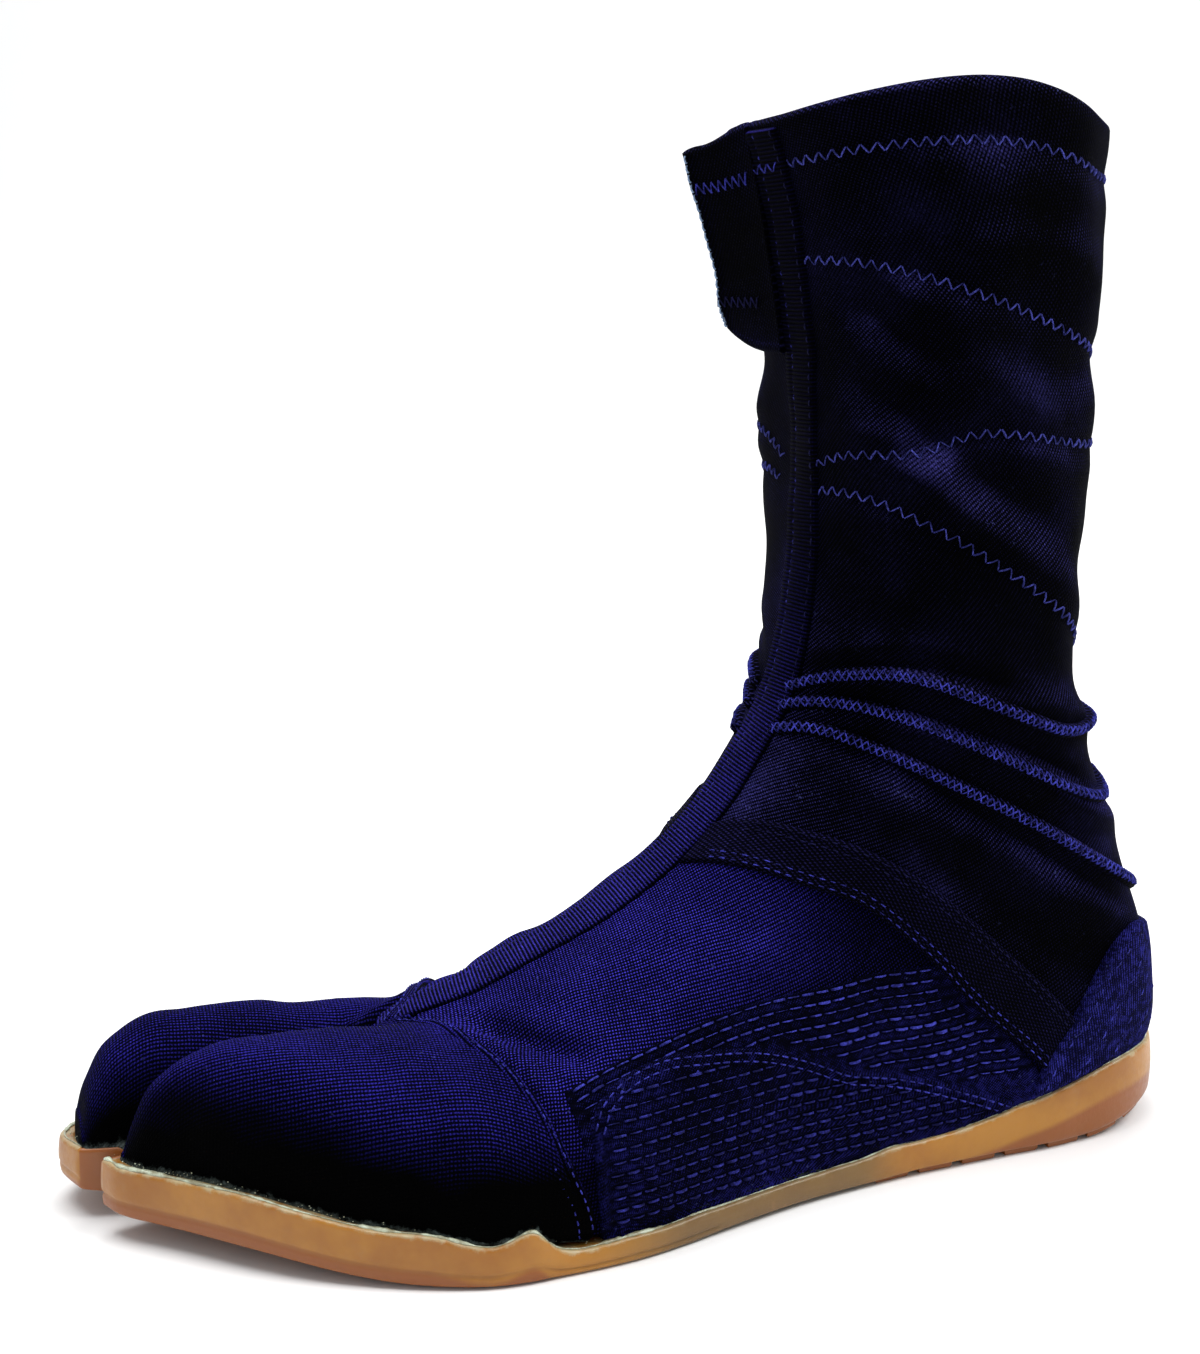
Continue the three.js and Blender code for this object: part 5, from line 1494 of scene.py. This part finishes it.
flap_top, flap_normal = make_flap()
flap_lines = []
for level in np.arange(2, 61, 3):
    a, b = flap_top[level, 27], flap_top[level + 1, 27]
    c, d = flap_top[min(level + 2, 63), 27], flap_normal[level, 27] * 0.3
    flap_lines.append(np.array([a - d, a + d, b + 1.6 * d, c + d, c - d]))
loose_threads("flap_edge_stitches", flap_lines, 0.26, PALE_THREAD)
for label, low, high, first, last, thread in (("low", 14, 17, 9, 29, NAVY_THREAD),
                                              ("high", 49, 52, 4, 28, ROYAL_THREAD)):
    flap_lines = []
    columns = np.arange(first, last, 1.5)
    for k in range(len(columns) - 1):
        row_a, row_b = (low, high) if k % 2 else (high, low)
        a, b = flap_top[row_a, int(columns[k])], flap_top[row_b, int(columns[k + 1])]
        d = flap_normal[low, 10] * 0.3
        flap_lines.append(np.array([a - d, a + d, (a + b) / 2 + 1.2 * d, b + d, b - d]))
    loose_threads(f"flap_zigzag_{label}", flap_lines, 0.2, thread)
a, b = zigzag(path_on_body([[18.5, 102], [18.5, 90], [18.5, 78]], pitch=0.7), 3.6, 2.3)
threads("tape_zigzag", a, b, 1.4, 0.18, ROYAL_THREAD, arch=0.25, sink=0.35)

# ---- The sole
def sole_ring(inset, heights):
    moved = SOLE_RING[:, :2] + SOLE_INWARD * np.asarray(inset, float).reshape(-1, 1)
    return np.column_stack([moved, np.broadcast_to(heights, len(moved))])


def filled(outline):
    return tessellate_polygon([[Vector((p[0], p[1], 0)) for p in outline]])


def make_sole():
    count = len(SOLE_RING)
    share = share_of(SOLE_RING[:, 1])
    spring = sole_spring(share)
    rim = SOLE_RING[:, 2]
    in_slit = np.arange(count) >= SOLE_OUTER_COUNT
    top_inset = np.where(in_slit, 1.6, 4.6)
    foot = TOE_LIP + (WAIST_LIFT - TOE_LIP) * (1 - smoothstep(0.47, 0.53, share))
    foot = foot + 0.5 * smoothstep(0.34, 0.28, share)
    wall = rim - spring - foot
    rings, below = [], []

    def add(inset, z):
        rings.append(sole_ring(inset, z))
        below.append(rim - z)
    add(top_inset, rim - 0.5)
    for inset, drop in ((0.9, 0.0), (0.45, 0.14), (0.12, 0.4), (0.0, 0.9)):
        add(inset, rim - drop)
    # A shallow line runs round the toes where the foxing meets the sole.
    for part in np.linspace(0.08, 0.93, 14):
        bulge = -0.4 * math.sin(part * math.pi) * ~in_slit
        line = 0.45 * np.exp(-((part - 0.66) / 0.05) ** 2) * (share > 0.5) * ~in_slit
        add(bulge + line, rim - 0.9 - (wall - 0.9) * part)
    add(0.25, spring + foot + 0.3)
    add(0.8, spring + foot)
    add(LIP_WIDTH, spring + foot)
    add(LIP_WIDTH + 0.4, spring + TREAD_HEIGHT)
    under = rings[-1]
    grid = np.array(rings)
    points = grid.reshape(-1, 3)
    last = (len(rings) - 1) * count
    faces = grid_faces(len(rings), count, wrap=True).tolist()
    base = len(points)
    # The sole's floor inside the rim, one step down, and its underside.
    floor_ring = sole_ring(np.where(in_slit, 1.6, 5.2), np.minimum(rim - 0.5,
                                                                   spring + SOLE_THICKNESS - 0.2))
    points = np.concatenate([points, floor_ring])
    for i in range(count):
        j = (i + 1) % count
        faces.append([j, i, base + i, base + j])
    faces += [[base + a for a in tri] for tri in filled(floor_ring)]
    faces += [[last + a for a in tri] for tri in filled(under)]
    below.append(np.full(count, 9.0))
    all_share = share_of(points[:, 1])
    waist = smoothstep(0.30, 0.36, all_share) * smoothstep(0.64, 0.52, all_share)
    slit_flag = np.tile(in_slit, len(rings) + 1)
    below = np.concatenate(below)
    below[slit_flag] = 9
    piece = build("sole_rubber_body", points, faces, RUBBER, tidy=True,
                  attributes={"below_rim": below, "waist": waist})
    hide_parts("outsole")


make_sole()


def crossings(outline, y):
    """Where a closed outline crosses a line across the shoe, from the inner side out."""
    a, b = outline, np.roll(outline, -1, 0)
    hit = (a[:, 1] <= y) != (b[:, 1] <= y)
    a, b = a[hit], b[hit]
    return np.sort(a[:, 0] + (b[:, 0] - a[:, 0]) * (y - a[:, 1]) / (b[:, 1] - a[:, 1]))


def make_tread():
    points, faces = [], []
    first = TREAD_PITCH / 2 - TREAD_PITCH * math.ceil(HEEL_SETBACK / TREAD_PITCH)
    starts = np.arange(-first + TREAD_PITCH, HEEL_SETBACK - FOOT_LENGTH - TREAD_PITCH, -TREAD_PITCH)
    for groove in starts:
        back, front = groove - TREAD_GROOVE / 2, groove - TREAD_PITCH + TREAD_GROOVE / 2
        middle = share_of((back + front) / 2)
        if HEEL_TREAD_END < middle < BALL_TREAD_START:
            continue
        outline = sole_ring(TREAD_INSET if middle < HEEL_TREAD_END else LIP_WIDTH + 0.6, 0)[:, :2]
        stops = np.concatenate([[back, back - 0.35], np.linspace(back - 1.2, front + 1.2, 7),
                                [front + 0.35, front]])
        lanes = {}
        for y in stops:
            xs = crossings(outline, y)
            split = len(xs) == 4
            for lane in range(len(xs) // 2):
                # With one pair of crossings left, the middle says which toe it belongs to.
                key = lane if split else (2 if middle < 0.74 else int(xs.mean() > SLIT_PLACE * BALL_WIDTH))
                lanes.setdefault(key, []).append((y, xs[2 * lane], xs[2 * lane + 1]))
        for lane in lanes.values():
            if len(lane) < 3:
                continue
            sections = []
            for k, (y, left, right) in enumerate(lane):
                spring = float(sole_spring(share_of(y)))
                soft = 0.35 if k in (0, len(lane) - 1) else 0.0
                x = np.array([left, left + 0.35, left + 1.0, right - 1.0, right - 0.35, right])
                low = np.array([0.35, 0.0, 0.0, 0.0, 0.0, 0.35]) + soft
                under = np.stack([x, np.full(6, y), spring + low], -1)
                over = np.stack([x[::-1], np.full(6, y), np.full(6, spring + TREAD_HEIGHT + 0.3)], -1)
                sections.append(np.concatenate([under, over]))
            base = sum(len(p) for p in points)
            points.append(np.concatenate(sections))
            faces += tube_faces(len(sections), 12, base)
    points = np.concatenate(points)
    share = share_of(points[:, 1])
    build("tread_bars", points, faces, RUBBER, tidy=True, smooth=False,
          attributes={"below_rim": np.full(len(points), 9.0), "waist": np.where(share < 0.4, 0.55, 0.1)})


make_tread()


def make_glue_line():
    """Dried glue squeezed out along the rim, in an uneven bead."""
    outer = SOLE_RING[:SOLE_OUTER_COUNT]
    inward = SOLE_INWARD[:SOLE_OUTER_COUNT]
    length = running(outer)
    stops = np.arange(0, length[-1], 0.45)
    edge = resample(outer, length, stops=stops)
    across = unit(resample(inward, length, stops=stops))
    count = len(stops)

    def rough(pitch):
        knots = rng.uniform(0, 1, int(length[-1] / pitch) + 4)
        return np.interp(stops / pitch, np.arange(len(knots)), knots)
    body = 0.5 * rough(9.0) + 0.3 * rough(3.1) + 0.2 * rough(1.1)
    size = 0.10 + 0.50 * smoothstep(0.30, 0.75, body)
    size = size * (0.35 + 0.65 * smoothstep(0.48, 0.60, share_of(edge[:, 1])))
    drift = 0.5 * (rough(14.0) - 0.5)
    sections = []
    for angle in np.radians([-60, -15, 30, 75, 120, 165, 210, 255]):
        out = 1.25 + drift - size * 1.25 * math.cos(angle)
        z = edge[:, 2] + 0.1 + size * 0.8 * math.sin(angle) + 0.15 * (rough(0.9) - 0.5)
        sections.append(np.column_stack([edge[:, :2] + across * out[:, None], z]))
    grid = np.stack(sections, 1)
    build("glue_line", grid.reshape(-1, 3), tube_faces(len(stops), 8), GLUE, tidy=True)


make_glue_line()


def make_glue_crumbs():
    """Crumbs and smears of glue on the cloth just above the rim, thickest at the toes."""
    outer = SOLE_RING[:SOLE_OUTER_COUNT]
    inward = SOLE_INWARD[:SOLE_OUTER_COUNT]
    points, faces = [], []
    solid = bmesh.new()
    bmesh.ops.create_icosphere(solid, subdivisions=1, radius=1.0)
    ball = np.array([v.co for v in solid.verts])
    ball_faces = [[v.index for v in f.verts] for f in solid.faces]
    solid.free()
    for _ in range(520):
        i = int(rng.integers(len(outer)))
        toes = outer[i, 1] < -150
        if not toes and rng.uniform() < 0.6:
            continue
        high = min(1.2, rng.exponential(0.4 if toes else 0.25))
        inset = 2.2 + rng.uniform(0, 0.6) - 0.12 * high
        centre = np.array([*(outer[i, :2] + inward[i] * inset), outer[i, 2] + 0.2 + high])
        size = rng.uniform(0.08, 0.22) * np.array([1, 1, rng.uniform(0.4, 0.9)])
        base = len(points) * len(ball)
        points.append(centre + ball * size * rng.uniform(0.7, 1.3, (len(ball), 1)))
        faces += [[base + v for v in f] for f in ball_faces]
    build("glue_crumbs", np.concatenate(points), faces, GLUE)


make_glue_crumbs()


def make_insole():
    outline = sole_ring(5.4, 0)[:SOLE_OUTER_COUNT, :2]
    rows, columns = 90, 30
    back, front = outline[:, 1].max() - 0.4, lengthwise(0.70)
    ys = back + (front - back) * (1 - np.cos(np.linspace(0, 1, rows) * math.pi / 2))
    grid, uv = [], []
    for y in ys:
        xs = crossings(outline, y)
        left, right = (xs[0], xs[-1]) if len(xs) >= 2 else (-4.0, 4.0)
        across = np.linspace(-1, 1, columns)
        x = (left + right) / 2 + (right - left) / 2 * across
        z = 8.3 + 1.3 * np.abs(across) ** 3 + 0.25 * wobble(np.column_stack([x, x * 0 + y, x * 0]) * 2)
        grid.append(np.column_stack([x, np.full(columns, y), z]))
        uv.append(np.column_stack([np.full(columns, y), x]))
    top = np.array(grid)
    bottom = top.copy()
    bottom[..., 2] = 6.0
    piece = slab("insole_cloth", top, bottom, np.array(uv), BOARD)
    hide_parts("insole")


make_insole()

# ---- Floor, light and camera
def make_backdrop():
    """A pale floor that sweeps up behind the shoe, as seen from the camera."""
    away = np.array([-0.942, 0.337])
    across = np.array([away[1], -away[0]])
    profile = [(-6.0, 0.0), (2.2, 0.0)]
    for angle in np.radians(np.linspace(6, 90, 15)):
        profile.append((2.2 + 1.4 * math.sin(angle), 1.4 * (1 - math.cos(angle))))
    profile.append((3.6, 6.0))
    points = [(*(away * d + across * w), z) for d, z in profile for w in (-7.0, 7.0)]
    faces = [(2 * i, 2 * i + 1, 2 * i + 3, 2 * i + 2) for i in range(len(profile) - 1)]
    mesh = bpy.data.meshes.new("floor")
    mesh.from_pydata(points, [], faces)
    mesh.polygons.foreach_set("use_smooth", [True] * len(faces))
    made, tree, shader = new_material("pale_floor", 0.9)
    shader.inputs["Base Color"].default_value = colour(0.86, 0.86, 0.86)
    mesh.materials.append(made)
    floor = bpy.data.objects.new("floor", mesh)
    bpy.context.scene.collection.objects.link(floor)


make_backdrop()
world = bpy.data.worlds.new("studio")
bpy.context.scene.world = world
world.use_nodes = True
world.node_tree.nodes["Background"].inputs["Color"].default_value = colour(0.96, 0.98, 1.0)
world.node_tree.nodes["Background"].inputs["Strength"].default_value = 0.55


def area_light(name, place, target, size, power):
    data = bpy.data.lights.new(name, "AREA")
    data.shape = "DISK"
    data.size = size
    data.energy = power
    lamp = bpy.data.objects.new(name, data)
    bpy.context.scene.collection.objects.link(lamp)
    lamp.location = place
    lamp.rotation_mode = "QUATERNION"
    lamp.rotation_quaternion = (Vector(target) - Vector(place)).to_track_quat("-Z", "Y")


MIDDLE = (0.0, -0.10, 0.08)
area_light("key_light", (0.45, 0.65, 1.15), MIDDLE, 0.8, 14)
area_light("top_light", (-0.10, -0.35, 1.25), MIDDLE, 0.9, 12)
area_light("wall_light", (-0.9, 0.5, 2.4), (-3.0, 1.1, 0.8), 1.6, 60)

camera = bpy.data.cameras.new("camera")
camera.sensor_fit = "VERTICAL"
camera.sensor_height = 36
camera.lens = 57.05
camera.clip_start = 0.01
viewer = bpy.data.objects.new("camera", camera)
bpy.context.scene.collection.objects.link(viewer)
RIGHT, UP = Vector((0.33950, 0.94046, -0.01625)), Vector((-0.17776, 0.08111, 0.98073))
BACK = RIGHT.cross(UP)
STAND = (0.4549, -0.2703, 0.2161)
viewer.matrix_world = Matrix.Translation(STAND) @ Matrix((RIGHT, UP, BACK)).transposed().to_4x4()
bpy.context.scene.camera = viewer
bpy.context.scene.view_settings.view_transform = "Standard"

# How far each point of the cloth faces up, for the painted shade on the sides of the cloths.
for piece in list(bpy.context.scene.objects):
    if piece.type == "MESH" and "cloth" in piece.data.uv_layers:
        upward = piece.data.attributes.new("upward", "FLOAT", "POINT")
        upward.data.foreach_set("value", np.array([n.vector.z for n in piece.data.vertex_normals],
                                                  np.float32))
        points = np.array([v.co for v in piece.data.vertices]) / MM
        above = np.full(len(points), 99.0, np.float32)
        low = np.flatnonzero(points[:, 2] < 28)
        if len(low):
            above[low] = points[low, 2] - SOLE_RING[nearest_on_rim(points[low])[0], 2]
        piece.data.attributes.new("above_rim", "FLOAT", "POINT").data.foreach_set("value", above)
